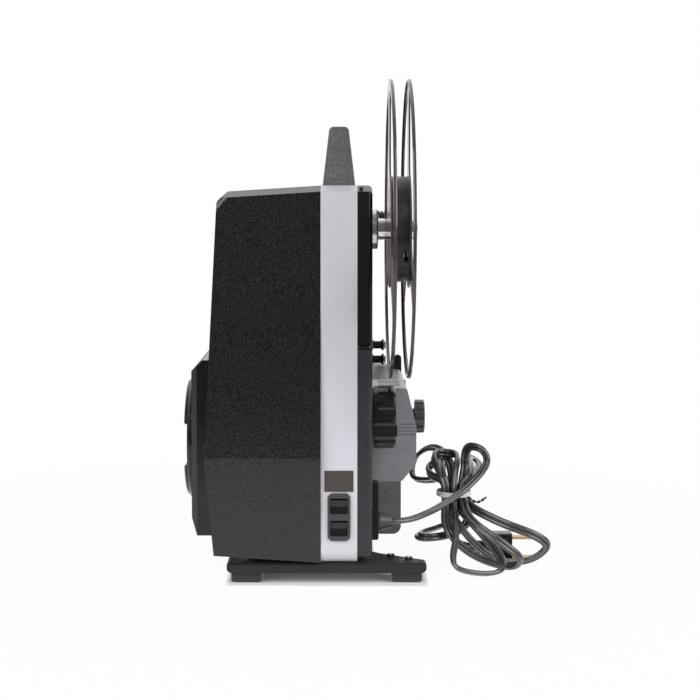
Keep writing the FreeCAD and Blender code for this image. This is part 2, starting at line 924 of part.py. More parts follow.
def side_panel(label, low, high, holes):
    body = new_body(label)
    made = sketch(body, "side", half_band)
    drop = S.rear_top_drop
    depth = S.rear_top_depth
    if high.value < body_top.value - 0.01:
        outline(made, [(0, low), (S.body_length, low), (S.body_length, high), (0, high)])
    else:
        outline(made, [
            (0, low), (S.body_length, low), (S.body_length, high), (depth, high), (0, high - drop),
        ])
    pad(body, made, S.panel_thick)
    front = S.body_length.value
    corner_z = (body_top if high.value > S.panel_seam.value + 1 else S.panel_bottom).value

    def corner(a, b):
        return runs_along(a, b, "x") and abs(a.y - front) < 0.01 and abs(a.z - corner_z) < 0.01

    round_edges(body, corner, S.body_corner)
    face_x = panel_face.value
    seam_z = (low if high.value > S.panel_seam.value + 1 else high).value

    def outer_edge(a, b):
        on_face = abs(a.x - face_x) < 0.01 and abs(b.x - face_x) < 0.01
        on_seam = abs(a.z - b.z) < 0.01 and abs(a.z - seam_z) < 0.01
        return on_face and not on_seam

    round_edges(body, outer_edge, S.panel_round)
    wall = S.panel_wall
    turn_in = S.body_corner - wall
    inside = sketch(body, "side", half_band)
    if high.value < body_top.value - 0.01:
        outline(inside, [
            (wall, low + wall),
            (S.body_length - turn_in - wall, low + wall),
            (S.body_length - wall, low + turn_in + wall),
            (S.body_length - wall, high - wall),
            (wall, high - wall),
        ])
    else:
        outline(inside, [
            (wall, low + wall),
            (S.body_length - wall, low + wall),
            (S.body_length - wall, high - turn_in - wall),
            (S.body_length - turn_in - wall, high - wall),
            (depth + wall, high - wall),
            (wall, high - drop - wall),
        ])
    cut(body, inside, S.panel_thick - wall)
    made = sketch(body, "side", half_band)
    for y, z, radius in holes:
        circle(made, y, z, radius)
    cut(body, made, S.panel_thick)
    return body


def side_panels():
    shaft_bore = S.spindle_shaft_radius + S.running_gap
    pin_bore = S.roller_pin_radius + S.seat_gap / 4
    body = side_panel("upper_side_panel", S.panel_seam + S.seam_gap, body_top, [
        (S.takeup_y, S.spindle_height, shaft_bore),
        (supply_y, S.spindle_height, shaft_bore),
    ])
    place(body)
    body = side_panel("lower_side_panel", S.panel_bottom, S.panel_seam, [
        (S.knob_y, S.knob_height, S.knob_shaft_radius + S.running_gap),
        (S.roller_y, S.roller_one_height, pin_bore),
        (S.roller_y, S.roller_two_height, pin_bore),
        (S.sprocket_y, S.sprocket_height, S.sprocket_shaft_radius + S.running_gap),
    ])
    slot = sketch(body, "side", half_band)
    slot_for_shutter(slot)
    cut(body, slot, S.panel_thick)
    place(body)


# Carry handle

def carry_handle():
    body = new_body("carry_handle")
    end = S.body_length - S.handle_setback
    top = body_top + S.handle_height
    made = sketch(body, "rear", S.handle_start)
    outline(made, [
        (-S.handle_foot_width / 2, body_top),
        (S.handle_foot_width / 2, body_top),
        (S.handle_top_width / 2, top),
        (-S.handle_top_width / 2, top),
    ])
    pad(body, made, end - S.handle_start)
    width = S.handle_foot_width
    for rear in (True, False):
        made = sketch(body, "side", -width / 2)

        def across(y):
            return S.handle_start + y if rear else end - y

        outline(made, [
            (across(-1), top + 1),
            (across(-1), body_top + S.handle_foot_thick),
            (across(0), body_top + S.handle_foot_thick),
            (across(S.handle_slope), top),
            (across(S.handle_slope), top + 1),
        ])
        cut(body, made, width)
    gap_start = S.handle_start + S.handle_post
    gap_end = end - S.handle_post
    gap = sketch(body, "side", -width / 2)
    box_outline(gap, gap_start, gap_end, body_top + S.handle_foot_thick, top - S.grip_thick)
    cut(body, gap, width)

    def gap_corner(a, b):
        at_gap = min(abs(a.y - gap_start.value), abs(a.y - gap_end.value)) < 0.01
        return runs_along(a, b, "x") and at_gap

    round_edges(body, gap_corner, S.handle_gap_round)

    def top_edge(a, b):
        return min(a.z, b.z) > top.value - 0.01

    round_edges(body, top_edge, S.handle_round)
    place(body)


# Spindles

def spindle_flanges():
    """Turned flanges that carry the two spindles on the upper side panel."""
    body = new_body("spindle_flanges")
    made = sketch(body, "side", panel_face)
    seats = sketch(body, "side", panel_face + S.spindle_flange_thick)
    outer = (panel_face + S.spindle_flange_thick).value
    centres = (S.takeup_y, supply_y)
    for y in centres:
        circle(made, y, S.spindle_height, S.spindle_flange_radius)
        circle(made, y, S.spindle_height, S.spindle_shaft_radius + S.running_gap)
        for screw_y, screw_z in flange_screw_places(y):
            circle(seats, screw_y, screw_z, S.flange_screw_radius + S.seat_gap / 2)
    pad(body, made, S.spindle_flange_thick)

    def rim(a, b):
        reach = min(math.hypot(a.y - y.value, a.z - S.spindle_height.value) for y in centres)
        return abs(a.x - outer) < 0.01 and reach > S.spindle_flange_radius.value - 0.01

    round_edges(body, rim, S.flange_edge, "Chamfer")
    cut(body, seats, S.flange_screw_head, along=-1)
    place(body)


def flange_screw_places(y):
    places = []
    for number in range(3):
        angle = math.radians(90 + 120 * number)
        screw_y = y + S.flange_screw_circle * math.cos(angle)
        screw_z = S.spindle_height + S.flange_screw_circle * math.sin(angle)
        places.append((screw_y, screw_z))
    return places


def flange_screws():
    """Three cheese-head screws in each spindle flange."""
    body = new_body("flange_screws")
    outer = panel_face + S.spindle_flange_thick
    made = sketch(body, "side", outer - S.flange_screw_head + S.seat_gap / 4)
    slots = sketch(body, "side", outer - S.screw_slot_depth + S.flange_screw_stand)
    for y in (S.takeup_y, supply_y):
        for screw_y, screw_z in flange_screw_places(y):
            circle(made, screw_y, screw_z, S.flange_screw_radius)
            box_outline(slots, screw_y - S.screw_slot / 2, screw_y + S.screw_slot / 2,
                        screw_z - S.flange_screw_radius, screw_z + S.flange_screw_radius)
    pad(body, made, S.flange_screw_head - S.seat_gap / 4 + S.flange_screw_stand)
    cut(body, slots, S.screw_slot_depth + 1)
    place(body)


def spindle(label, y, keys_from, keys_to, seat_end):
    """A turned spindle, held by a collar behind the mechanism plate.

    It has three driving keys, or a slimmer seat for the grooved collar."""
    shaft = S.spindle_shaft_radius
    root = [(spindle_root, shaft), (spindle_root, S.spindle_radius)]
    if seat_end is not None:
        seat = S.collar_seat_radius
        root = [(spindle_root, shaft), (spindle_root, seat), (seat_end, seat), (seat_end, S.spindle_radius)]
    body = turned_x(label, [
        (S.mech_plate_x - S.spindle_collar - S.moving_gap, 0),
        (S.mech_plate_x - S.spindle_collar - S.moving_gap, shaft * 1.7),
        (S.mech_plate_x - S.moving_gap, shaft * 1.7),
        (S.mech_plate_x - S.moving_gap, shaft),
        *root,
        (S.spindle_tip - S.flange_edge, S.spindle_radius),
        (S.spindle_tip, S.spindle_radius - S.flange_edge),
        (S.spindle_tip, 0),
    ])
    if keys_from is not None:
        made = sketch(body, "side", keys_from)
        box_outline(made, -S.key_width / 2, S.key_width / 2,
                    S.spindle_radius - 1, S.spindle_radius + S.key_rise)
        key = pad(body, made, keys_to - keys_from)
        ring_pattern(body, [key], made, 3)
    place(body, 0, y, S.spindle_height)


def supply_collar():
    """A grooved rubber collar pushed on the supply spindle."""
    start = S.supply_collar_x
    radius = S.collar_radius
    groove = S.collar_groove
    bore = S.collar_seat_radius + S.seat_gap / 4
    stations = [(start, bore), (start, radius)]
    for number in range(3):
        low = start + S.supply_collar_length * ((number * 2 + 1) / 7)
        high = start + S.supply_collar_length * ((number * 2 + 2) / 7)
        stations += [(low, radius), (low, radius - groove), (high, radius - groove), (high, radius)]
    end = start + S.supply_collar_length
    stations += [(end, radius), (end, bore)]
    body = turned_x("supply_collar", stations)
    place(body, 0, supply_y, S.spindle_height)


# Take-up reel

hub_start = S.reel_plane + S.reel_sheet
hub_end = hub_start + S.film_width


def reel_flange(label, start, bead_side):
    """A pressed flange: rim, centre ring and three spokes, with a rolled bead on its rim."""
    body = new_body(label)
    made = sketch(body, "side", start)
    circle(made, 0, 0, S.reel_radius)
    circle(made, 0, 0, S.reel_radius - S.rim_width)
    circle(made, 0, 0, S.hub_radius + S.flange_centre_margin)
    circle(made, 0, 0, S.flange_bore)
    pad(body, made, S.reel_sheet)
    made = sketch(body, "side", start)
    half = S.spoke_width / 2
    box_outline(made, -half, half, S.hub_radius, S.reel_radius - S.rim_width / 2)
    spoke = pad(body, made, S.reel_sheet)
    ring_pattern(body, [spoke], made, 3)
    inner = (S.hub_radius + S.flange_centre_margin).value
    outer = (S.reel_radius - S.rim_width).value

    def spoke_root(a, b):
        radius = math.hypot(a.y, a.z)
        return runs_along(a, b, "x") and (abs(radius - inner) < 0.05 or abs(radius - outer) < 0.05)

    round_edges(body, spoke_root, S.spoke_round)
    edge = start if bead_side < 0 else start + S.reel_sheet
    turn(body, "plan", [
        (edge, S.reel_radius - S.rim_bead * 2),
        (edge + S.rim_bead * bead_side, S.reel_radius - S.rim_bead * 1.5),
        (edge + S.rim_bead * bead_side, S.reel_radius - S.rim_bead / 2),
        (edge, S.reel_radius),
    ], "H_Axis")
    place(body, 0, S.takeup_y, S.spindle_height)


def reel_hub():
    body = new_body("reel_hub")
    bore = S.spindle_radius + S.running_gap
    middle = hub_start + S.film_width / 2
    turn(body, "plan", [
        (hub_start, bore),
        (hub_end, bore),
        (hub_end, S.hub_boss_radius),
        (middle + S.hub_wall / 2, S.hub_boss_radius),
        (middle + S.hub_wall / 2, S.hub_radius - S.hub_wall),
        (hub_end, S.hub_radius - S.hub_wall),
        (hub_end, S.hub_radius),
        (hub_start, S.hub_radius),
        (hub_start, S.hub_radius - S.hub_wall),
        (middle - S.hub_wall / 2, S.hub_radius - S.hub_wall),
        (middle - S.hub_wall / 2, S.hub_boss_radius),
        (hub_start, S.hub_boss_radius),
    ], "H_Axis")
    made = sketch(body, "side", hub_start)
    half = S.key_width / 2 + S.seat_gap
    box_outline(made, -half, half, S.spindle_radius - 1, S.spindle_radius + S.key_rise + S.seat_gap)
    keyway = cut(body, made, S.film_width)
    ring_pattern(body, [keyway], made, 3)
    slot = sketch(body, "plan", 0)
    box_outline(slot, hub_end - S.hub_slot_width * 1.4, hub_end - S.hub_slot_width * 0.4,
                -S.hub_slot_length / 2, S.hub_slot_length / 2)
    film_slot = cut(body, slot, S.hub_radius + 1)
    round_slot = sketch(body, "side", hub_start)
    circle(round_slot, 0, 0, S.hub_radius)
    ring_pattern(body, [film_slot], round_slot, 3)
    place(body, 0, S.takeup_y, S.spindle_height)




# Rollers and deflector

def guide_roller(number, height):
    """A waisted roller on a headed pin."""
    start = panel_face + S.moving_gap
    end = start + S.roller_length
    bore = S.roller_pin_radius + S.running_gap
    body = turned_x("guide_roller_" + number, [
        (start, bore),
        (start, S.roller_radius),
        (start + S.roller_flange, S.roller_radius),
        (start + S.roller_flange * 2, S.roller_waist),
        (end - S.roller_flange * 2, S.roller_waist),
        (end - S.roller_flange, S.roller_radius),
        (end, S.roller_radius),
        (end, bore),
    ])
    place(body, 0, S.roller_y, height)


def roller_pins():
    """Headed pins in the lower side panel that the two rollers turn on."""
    body = new_body("roller_pins")
    root = panel_face - S.panel_wall - 1
    head = panel_face + S.roller_length + S.moving_gap * 2
    shanks = sketch(body, "side", root)
    heads = sketch(body, "side", head)
    for height in (S.roller_one_height, S.roller_two_height):
        circle(shanks, S.roller_y, height, S.roller_pin_radius)
        circle(heads, S.roller_y, height, S.roller_pin_radius * 2)
    pad(body, shanks, head - root)
    pad(body, heads, S.roller_flange)
    place(body)


def film_deflector():
    """A thin bent guide that keeps the film clear under the second roller."""
    body = new_body("film_deflector")
    made = sketch(body, "side", panel_face)
    top = S.roller_two_height - S.roller_radius - S.deflector_gap
    half = S.deflector_length / 2
    bend = S.roller_y - half * 0.35
    outline(made, [
        (S.roller_y - half, top - S.deflector_sag - S.deflector_thick),
        (bend, top - S.deflector_thick),
        (S.roller_y + half, top - S.deflector_thick),
        (S.roller_y + half, top),
        (bend, top),
        (S.roller_y - half, top - S.deflector_sag),
    ])
    pad(body, made, S.deflector_reach)
    place(body)


# Control knob

def control_knob():
    """The fluted selector knob and its shaft, with a detent disc behind the mechanism plate."""
    start = panel_face + S.knob_stand
    end = start + S.knob_thick
    detent = S.mech_plate_x - S.moving_gap
    body = turned_x("control_knob", [
        (detent - S.knob_detent_thick, 0),
        (detent - S.knob_detent_thick, S.knob_shaft_radius * 3),
        (detent, S.knob_shaft_radius * 3),
        (detent, S.knob_shaft_radius),
        (start, S.knob_shaft_radius),
        (start, S.knob_radius),
        (end - S.knob_edge, S.knob_radius),
        (end, S.knob_radius - S.knob_edge),
        (end, S.knob_radius * 0.62),
        (end - S.knob_edge, S.knob_radius * 0.55),
        (end - S.knob_edge, 0),
    ])
    made = sketch(body, "side", start + S.knob_skirt)
    circle(made, 0, S.knob_radius + S.flute_radius * 0.55, S.flute_radius)
    flute = cut(body, made, S.knob_thick)
    ring_pattern(body, [flute], made, 10)
    bar = sketch(body, "side", start)
    centre = -S.knob_radius * S.knob_bar_drop
    box_outline(bar, -S.knob_radius - S.knob_bar_rise, 0,
                centre - S.knob_bar_width / 2, centre + S.knob_bar_width / 2)
    pad(body, bar, S.knob_thick + S.knob_bar_rise)
    place(body, 0, S.knob_y, S.knob_height)


# Lamphouse

def lamphouse_cover():
    body = new_body("lamphouse_cover")
    made = sketch(body, "rear", S.lamphouse_y)
    outline(made, [
        (panel_face, S.lamphouse_bottom),
        (panel_face + S.lamphouse_foot_reach, S.lamphouse_bottom),
        (panel_face + S.lamphouse_reach, S.lamphouse_bottom + S.lamphouse_foot_rise),
        (panel_face + S.lamphouse_reach, S.lamphouse_slope_end),
        (panel_face + S.lamphouse_top_reach, S.lamphouse_top),
        (panel_face, S.lamphouse_top),
    ])
    pad(body, made, S.lamphouse_length)
    face_x = panel_face.value

    def long_edge(a, b):
        return runs_along(a, b, "y") and a.x > face_x + 1

    round_edges(body, long_edge, S.lamphouse_round)
    wall = S.lamphouse_wall
    inside = sketch(body, "rear", S.lamphouse_y + wall)
    outline(inside, [
        (panel_face, S.lamphouse_bottom + wall),
        (panel_face + S.lamphouse_foot_reach - wall, S.lamphouse_bottom + wall),
        (panel_face + S.lamphouse_reach - wall, S.lamphouse_bottom + S.lamphouse_foot_rise + wall),
        (panel_face + S.lamphouse_reach - wall, S.lamphouse_slope_end - wall),
        (panel_face + S.lamphouse_top_reach - wall * 1.5, S.lamphouse_top - wall),
        (panel_face, S.lamphouse_top - wall),
    ])
    cut(body, inside, S.lamphouse_length - wall * 2)
    boss = sketch(body, "side", panel_face + S.lamphouse_reach - S.lamp_boss_length)
    circle(boss, S.lamp_knob_y, S.lamp_knob_height, S.lamp_boss_radius)
    pad(body, boss, S.lamp_boss_length)
    hole = sketch(body, "side", panel_face + S.lamphouse_reach - S.lamp_boss_length)
    circle(hole, S.lamp_knob_y, S.lamp_knob_height, S.lamp_screw_radius + S.running_gap)
    cut(body, hole, S.lamp_boss_length)
    ribs = sketch(body, "rear", S.lamphouse_y)
    for number in range(4):
        low = S.rib_height + S.rib_pitch * number
        box_outline(ribs, panel_face + 3, panel_face + S.lamphouse_reach + 1, low, low + S.rib_pitch * 0.4)
    cut(body, ribs, S.rib_depth)
    vents = sketch(body, "plan", S.lamphouse_top)
    low = S.lamphouse_y + S.vent_margin
    while low.value < (S.lamphouse_y + S.lamphouse_length - S.vent_margin).value:
        box_outline(vents, panel_face + 5, panel_face + S.lamphouse_top_reach - 4, low, low + S.vent_width)
        low = low + S.vent_pitch
    cut(body, vents, S.lamphouse_wall * 1.5, along=-1)
    beam = sketch(body, "rear", S.lamphouse_y + S.lamphouse_length)
    circle(beam, axis_x, S.axis_height, S.condenser_radius)
    cut(body, beam, S.lamphouse_wall * 1.5, along=-1)
    place(body)


def lamp_cover_knob():
    """A ribbed thumbscrew that clamps the lamphouse cover."""
    start = panel_face + S.lamphouse_reach + S.moving_gap
    end = start + S.lamp_knob_thick
    inner = panel_face + S.lamphouse_reach - S.lamp_boss_length
    body = turned_x("lamp_cover_knob", [
        (inner - S.lamp_screw_end, 0),
        (inner - S.lamp_screw_end, S.lamp_screw_radius * 1.5),
        (inner - S.moving_gap, S.lamp_screw_radius * 1.5),
        (inner - S.moving_gap, S.lamp_screw_radius),
        (start, S.lamp_screw_radius),
        (start, S.lamp_knob_radius),
        (end - S.flange_edge, S.lamp_knob_radius),
        (end, S.lamp_knob_radius - S.flange_edge),
        (end, 0),
    ])
    made = sketch(body, "side", start)
    half = S.lamp_knob_groove / 2
    box_outline(made, -half, half, S.lamp_knob_radius - half, S.lamp_knob_radius + half)
    groove = cut(body, made, S.lamp_knob_thick)
    ring_pattern(body, [groove], made, 12)
    place(body, 0, S.lamp_knob_y, S.lamp_knob_height)


def film_channel():
    """The covered way under the lamphouse that leads the film back to the take-up side."""
    body = new_body("film_channel")
    made = sketch(body, "rear", S.lamphouse_y)
    outline(made, [
        (panel_face, S.channel_bottom),
        (panel_face + S.channel_reach, S.channel_bottom),
        (panel_face + S.channel_reach, S.lamphouse_bottom),
        (panel_face, S.lamphouse_bottom),
    ])
    pad(body, made, S.lamphouse_length)
    face_x = (panel_face + S.channel_reach).value
    low = S.channel_bottom.value

    def lower_edge(a, b):
        return runs_along(a, b, "y") and abs(a.x - face_x) < 0.01 and abs(a.z - low) < 0.01

    round_edges(body, lower_edge, S.channel_round)
    wall = S.channel_wall
    inside = sketch(body, "rear", S.lamphouse_y + wall)
    outline(inside, [
        (panel_face, S.channel_bottom + wall),
        (panel_face + S.channel_reach - S.channel_round, S.channel_bottom + wall),
        (panel_face + S.channel_reach - wall, S.channel_bottom + S.channel_round),
        (panel_face + S.channel_reach - wall, S.lamphouse_bottom - wall),
        (panel_face, S.lamphouse_bottom - wall),
    ])
    cut(body, inside, S.lamphouse_length - wall)
    place(body)


# Lamp, its socket and the condenser, inside the lamphouse

def lamp_parts():
    start = S.lamp_y
    radius = S.reflector_radius
    body = turned_y("lamp_reflector", [
        (start, S.bulb_radius + S.moving_gap),
        (start, radius * 0.55),
        (start + radius * 0.5, radius * 0.85),
        (start + radius * 1.3, radius),
        (start + radius * 1.3, radius - 1),
        (start + radius * 0.5, radius * 0.85 - 1),
        (start + 1, radius * 0.55 - 1),
        (start + 1, S.bulb_radius + S.moving_gap),
    ])
    place(body, axis_x, 0, S.axis_height)
    bulb = turned_y("lamp_bulb", [
        (start - S.bulb_base, 0),
        (start - S.bulb_base, S.bulb_radius),
        (start + radius * 0.9, S.bulb_radius),
        (start + radius * 1.2, S.bulb_radius * 0.5),
        (start + radius * 1.2, 0),
    ])
    place(bulb, axis_x, 0, S.axis_height)
    bracket = new_body("lamp_bracket")
    made = sketch(bracket, "rear", start - S.bulb_base - S.socket_length)
    half = S.bulb_radius * 2
    box_outline(made, panel_face, axis_x + half, S.axis_height - half, S.axis_height + half)
    pad(bracket, made, S.bulb_base + S.socket_length)
    hole = sketch(bracket, "rear", start)
    circle(hole, axis_x, S.axis_height, S.bulb_radius + S.seat_gap / 4)
    cut(bracket, hole, S.bulb_base, along=-1)
    strap = sketch(bracket, "rear", start - S.bulb_base)
    box_outline(strap, panel_face, panel_face + S.condenser_wall,
                S.axis_height - half, S.axis_height + half)
    pad(bracket, strap, S.condenser_y - start + S.bulb_base)
    ring = sketch(bracket, "rear", S.condenser_y)
    reach = S.condenser_radius + S.condenser_wall
    outline(ring, [
        (panel_face, S.axis_height - reach),
        (axis_x + reach - S.ring_corner, S.axis_height - reach),
        (axis_x + reach, S.axis_height - reach + S.ring_corner),
        (axis_x + reach, S.axis_height + reach - S.ring_corner),
        (axis_x + reach - S.ring_corner, S.axis_height + reach),
        (panel_face, S.axis_height + reach),
    ])
    circle(ring, axis_x, S.axis_height, S.condenser_radius + S.seat_gap / 4)
    pad(bracket, ring, S.condenser_thick)
    place(bracket)
    glasses("condenser_lens", [S.condenser_y], S.condenser_radius, S.condenser_thick)


def glasses(label, starts, radius, thick):
    """Round glasses on the optical axis, each with domed faces and a straight edge."""
    body = new_body(label)
    edge = thick * 0.18
    crown = thick / 2
    for start in starts:
        middle = start + thick / 2
        turn(body, "plan", [
            (0, middle - crown),
            (radius * 0.5, middle - crown * 0.82),
            (radius, middle - edge),
            (radius, middle + edge),
            (radius * 0.5, middle + crown * 0.82),
            (0, middle + crown),
        ], "V_Axis")
    place(body, axis_x, 0, S.axis_height)


# Gate, lens and sprocket on the operator's side

def gate_block():
    body = new_body("gate_block")
    made = sketch(body, "rear", S.gate_start)
    box_outline(made, panel_face, panel_face + S.gate_reach, S.gate_bottom, S.gate_top)
    pad(body, made, S.gate_thick)
    hole = sketch(body, "rear", S.gate_start)
    half = S.aperture_width / 2
    rise = S.aperture_height / 2
    box_outline(hole, axis_x - half, axis_x + half, S.axis_height - rise, S.axis_height + rise)
    cut(body, hole, S.gate_thick)
    track = sketch(body, "rear", S.gate_start + S.gate_thick)
    box_outline(track, axis_x - S.film_track / 2, axis_x + S.film_track / 2, S.gate_bottom, S.gate_top)
    cut(body, track, S.film_track_depth, along=-1)
    pins = sketch(body, "rear", S.gate_start + S.gate_thick)
    for sign in (-1, 1):
        circle(pins, panel_face + S.gate_pin_reach, S.axis_height + S.gate_pin_rise * sign,
               S.gate_pin_radius)
    pad(body, pins, S.pressure_travel + S.pressure_thick * 2)
    place(body)


def pressure_plate():
    body = new_body("pressure_plate")
    start = S.gate_start + S.gate_thick + S.moving_gap
    made = sketch(body, "rear", start)
    box_outline(made, panel_face + S.gate_pin_reach - S.gate_pin_radius * 2, axis_x + S.film_track,
                S.axis_height - S.pressure_rise, S.axis_height + S.pressure_rise)
    for sign in (-1, 1):
        circle(made, panel_face + S.gate_pin_reach, S.axis_height + S.gate_pin_rise * sign,
               S.gate_pin_radius + S.running_gap)
    pad(body, made, S.pressure_thick)
    window = sketch(body, "rear", start)
    box_outline(window, axis_x - S.aperture_width, axis_x + S.aperture_width,
                S.axis_height - S.aperture_height, S.axis_height + S.aperture_height)
    cut(body, window, S.pressure_thick)
    place(body)


def gate_lever():
    """The lever that opens the gate, on a pin from the panel."""
    radius = S.lever_pin_radius
    pin = turned_x("lever_pin", [
        (panel_face, 0),
        (panel_face, radius * 2),
        (panel_face + S.lever_reach - S.moving_gap, radius * 2),
        (panel_face + S.lever_reach - S.moving_gap, radius),
        (panel_face + S.lever_reach + S.lever_thick + S.moving_gap, radius),
        (panel_face + S.lever_reach + S.lever_thick + S.moving_gap, radius * 1.6),
        (panel_face + S.lever_reach + S.lever_thick + S.roller_flange, radius * 1.6),
        (panel_face + S.lever_reach + S.lever_thick + S.roller_flange, 0),
    ])
    place(pin, 0, S.lever_y, S.lever_pivot_height)
    body = new_body("gate_lever")
    made = sketch(body, "side", panel_face + S.lever_reach)
    circle(made, 0, 0, S.lever_hub_radius)
    pad(body, made, S.lever_thick)
    arm = sketch(body, "side", panel_face + S.lever_reach)
    rise = S.lever_top - S.lever_pivot_height
    outline(arm, [
        (-S.lever_arm_width / 2, 0),
        (S.lever_arm_width / 2, 0),
        (S.lever_arm_width / 2, rise * 0.45),
        (S.lever_arm_width, rise),
        (0, rise),
        (-S.lever_arm_width / 2, rise * 0.45),
    ])
    pad(body, arm, S.lever_thick)
    hole = sketch(body, "side", panel_face + S.lever_reach)
    circle(hole, 0, 0, radius + S.running_gap)
    cut(body, hole, S.lever_thick)
    tip = rise.value

    def tip_edge(a, b):
        return min(a.z, b.z) > tip - 0.01 and runs_along(a, b, "y")

    round_edges(body, tip_edge, S.lever_thick * 0.3, "Chamfer")
    place(body, 0, S.lever_y, S.lever_pivot_height)


def lens_parts():
    carrier = new_body("lens_carrier")
    made = sketch(carrier, "rear", S.carrier_start)
    reach = S.lens_radius + S.carrier_wall
    box_outline(made, panel_face, axis_x + reach,
                S.axis_height - reach - S.pinion_radius, S.axis_height + reach)
    pad(carrier, made, S.carrier_length)
    outer_x = (axis_x + reach).value

    def outer_long_edge(a, b):
        return runs_along(a, b, "y") and abs(a.x - outer_x) < 0.01

    round_edges(carrier, outer_long_edge, S.carrier_wall)
    hole = sketch(carrier, "rear", S.carrier_start)
    circle(hole, axis_x, S.axis_height, lens_bore)
    cut(carrier, hole, S.carrier_length)
    shaft_hole = sketch(carrier, "side", axis_x - S.pinion_length / 2)
    circle(shaft_hole, focus_y, focus_height, S.pinion_radius + S.moving_gap)
    cut(carrier, shaft_hole, S.pinion_length)
    shaft_hole = sketch(carrier, "side", axis_x)
    circle(shaft_hole, focus_y, focus_height, S.focus_shaft_radius + S.running_gap)
    cut(carrier, shaft_hole, reach + 1)
    place(carrier)
    barrel = turned_y("lens_barrel", [
        (S.lens_start, S.lens_radius - S.lens_wall),
        (S.lens_start, S.lens_radius),
        (S.lens_start + S.lens_length, S.lens_radius),
        (S.lens_start + S.lens_length, S.lens_radius - S.lens_wall * 0.5),
        (S.lens_start + S.lens_length - S.lens_wall * 2, S.lens_radius - S.lens_wall),
    ])
    place(barrel, axis_x, 0, S.axis_height)
    glass = S.lens_radius - S.lens_wall - S.seat_gap / 4
    front_glass = S.lens_start + S.lens_length - S.glass_thick - S.lens_wall * 2
    glasses("lens_glasses", [S.lens_start + S.lens_wall, front_glass], glass, S.glass_thick)
    start = axis_x + reach + S.moving_gap
    end = start + S.focus_knob_thick
    knob = turned_x("focus_knob", [
        (axis_x - S.pinion_length / 2 + S.moving_gap, 0),
        (axis_x - S.pinion_length / 2 + S.moving_gap, S.pinion_radius),
        (axis_x + S.pinion_length / 2 - S.moving_gap, S.pinion_radius),
        (axis_x + S.pinion_length / 2 - S.moving_gap, S.focus_shaft_radius),
        (start, S.focus_shaft_radius),
        (start, S.focus_knob_radius),
        (end - S.flange_edge, S.focus_knob_radius),
        (end, S.focus_knob_radius - S.flange_edge),
        (end, 0),
    ])
    made = sketch(knob, "side", start)
    circle(made, 0, S.focus_knob_radius + S.focus_flute * 0.5, S.focus_flute)
    flute = cut(knob, made, S.focus_knob_thick)
    ring_pattern(knob, [flute], made, 12)
    place(knob, 0, focus_y, focus_height)


def film_sprocket():
    """A toothed drum on its own shaft, under the gate."""
    start = panel_face + S.sprocket_reach
    end = start + S.sprocket_length
    middle = (start + end) / 2 - S.film_track / 4
    body = turned_x("film_sprocket", [
        (S.mech_plate_x - S.spindle_collar, 0),
        (S.mech_plate_x - S.spindle_collar, S.sprocket_shaft_radius * 1.8),
        (S.mech_plate_x - S.moving_gap, S.sprocket_shaft_radius * 1.8),
        (S.mech_plate_x - S.moving_gap, S.sprocket_shaft_radius),
        (start, S.sprocket_shaft_radius),
        (start, S.sprocket_radius + 1.5),
        (start + 1, S.sprocket_radius),
        (end - 1, S.sprocket_radius),
        (end, S.sprocket_radius + 1.5),
        (end, 0),
    ])
    made = sketch(body, "side", middle)
    half = S.tooth_size / 2
    box_outline(made, -half, half, S.sprocket_radius - 1, S.sprocket_radius + S.tooth_size)
    tooth = pad(body, made, S.tooth_size)
    ring_pattern(body, [tooth], made, 12)
    place(body, 0, S.sprocket_y, S.sprocket_height)


# Cord inlet, switches and label plate on the rear

relief_start = panel_face + S.strip_thick
relief_y = S.strip_y + S.strip_length / 2
relief_end = relief_start + S.relief_length


def cord_inlet():
    body = new_body("cord_inlet_strip")
    made = sketch(body, "side", panel_face)
    box_outline(made, S.strip_y, S.strip_y + S.strip_length,
                S.strip_bottom, S.strip_bottom + S.strip_height)
    pad(body, made, S.strip_thick)
    outer = relief_start.value

    def outer_edge(a, b):
        return abs(a.x - outer) < 0.01 and abs(b.x - outer) < 0.01

    round_edges(body, outer_edge, S.strip_round, "Chamfer")
    place(body)
    relief = turned_x("strain_relief", [
        (relief_start, 0),
        (relief_start, S.relief_radius),
        (relief_start + S.relief_length * 0.12, S.relief_radius),
        (relief_end, S.relief_tip_radius),
        (relief_end, 0),
    ])
    place(relief, 0, relief_y, S.relief_height)


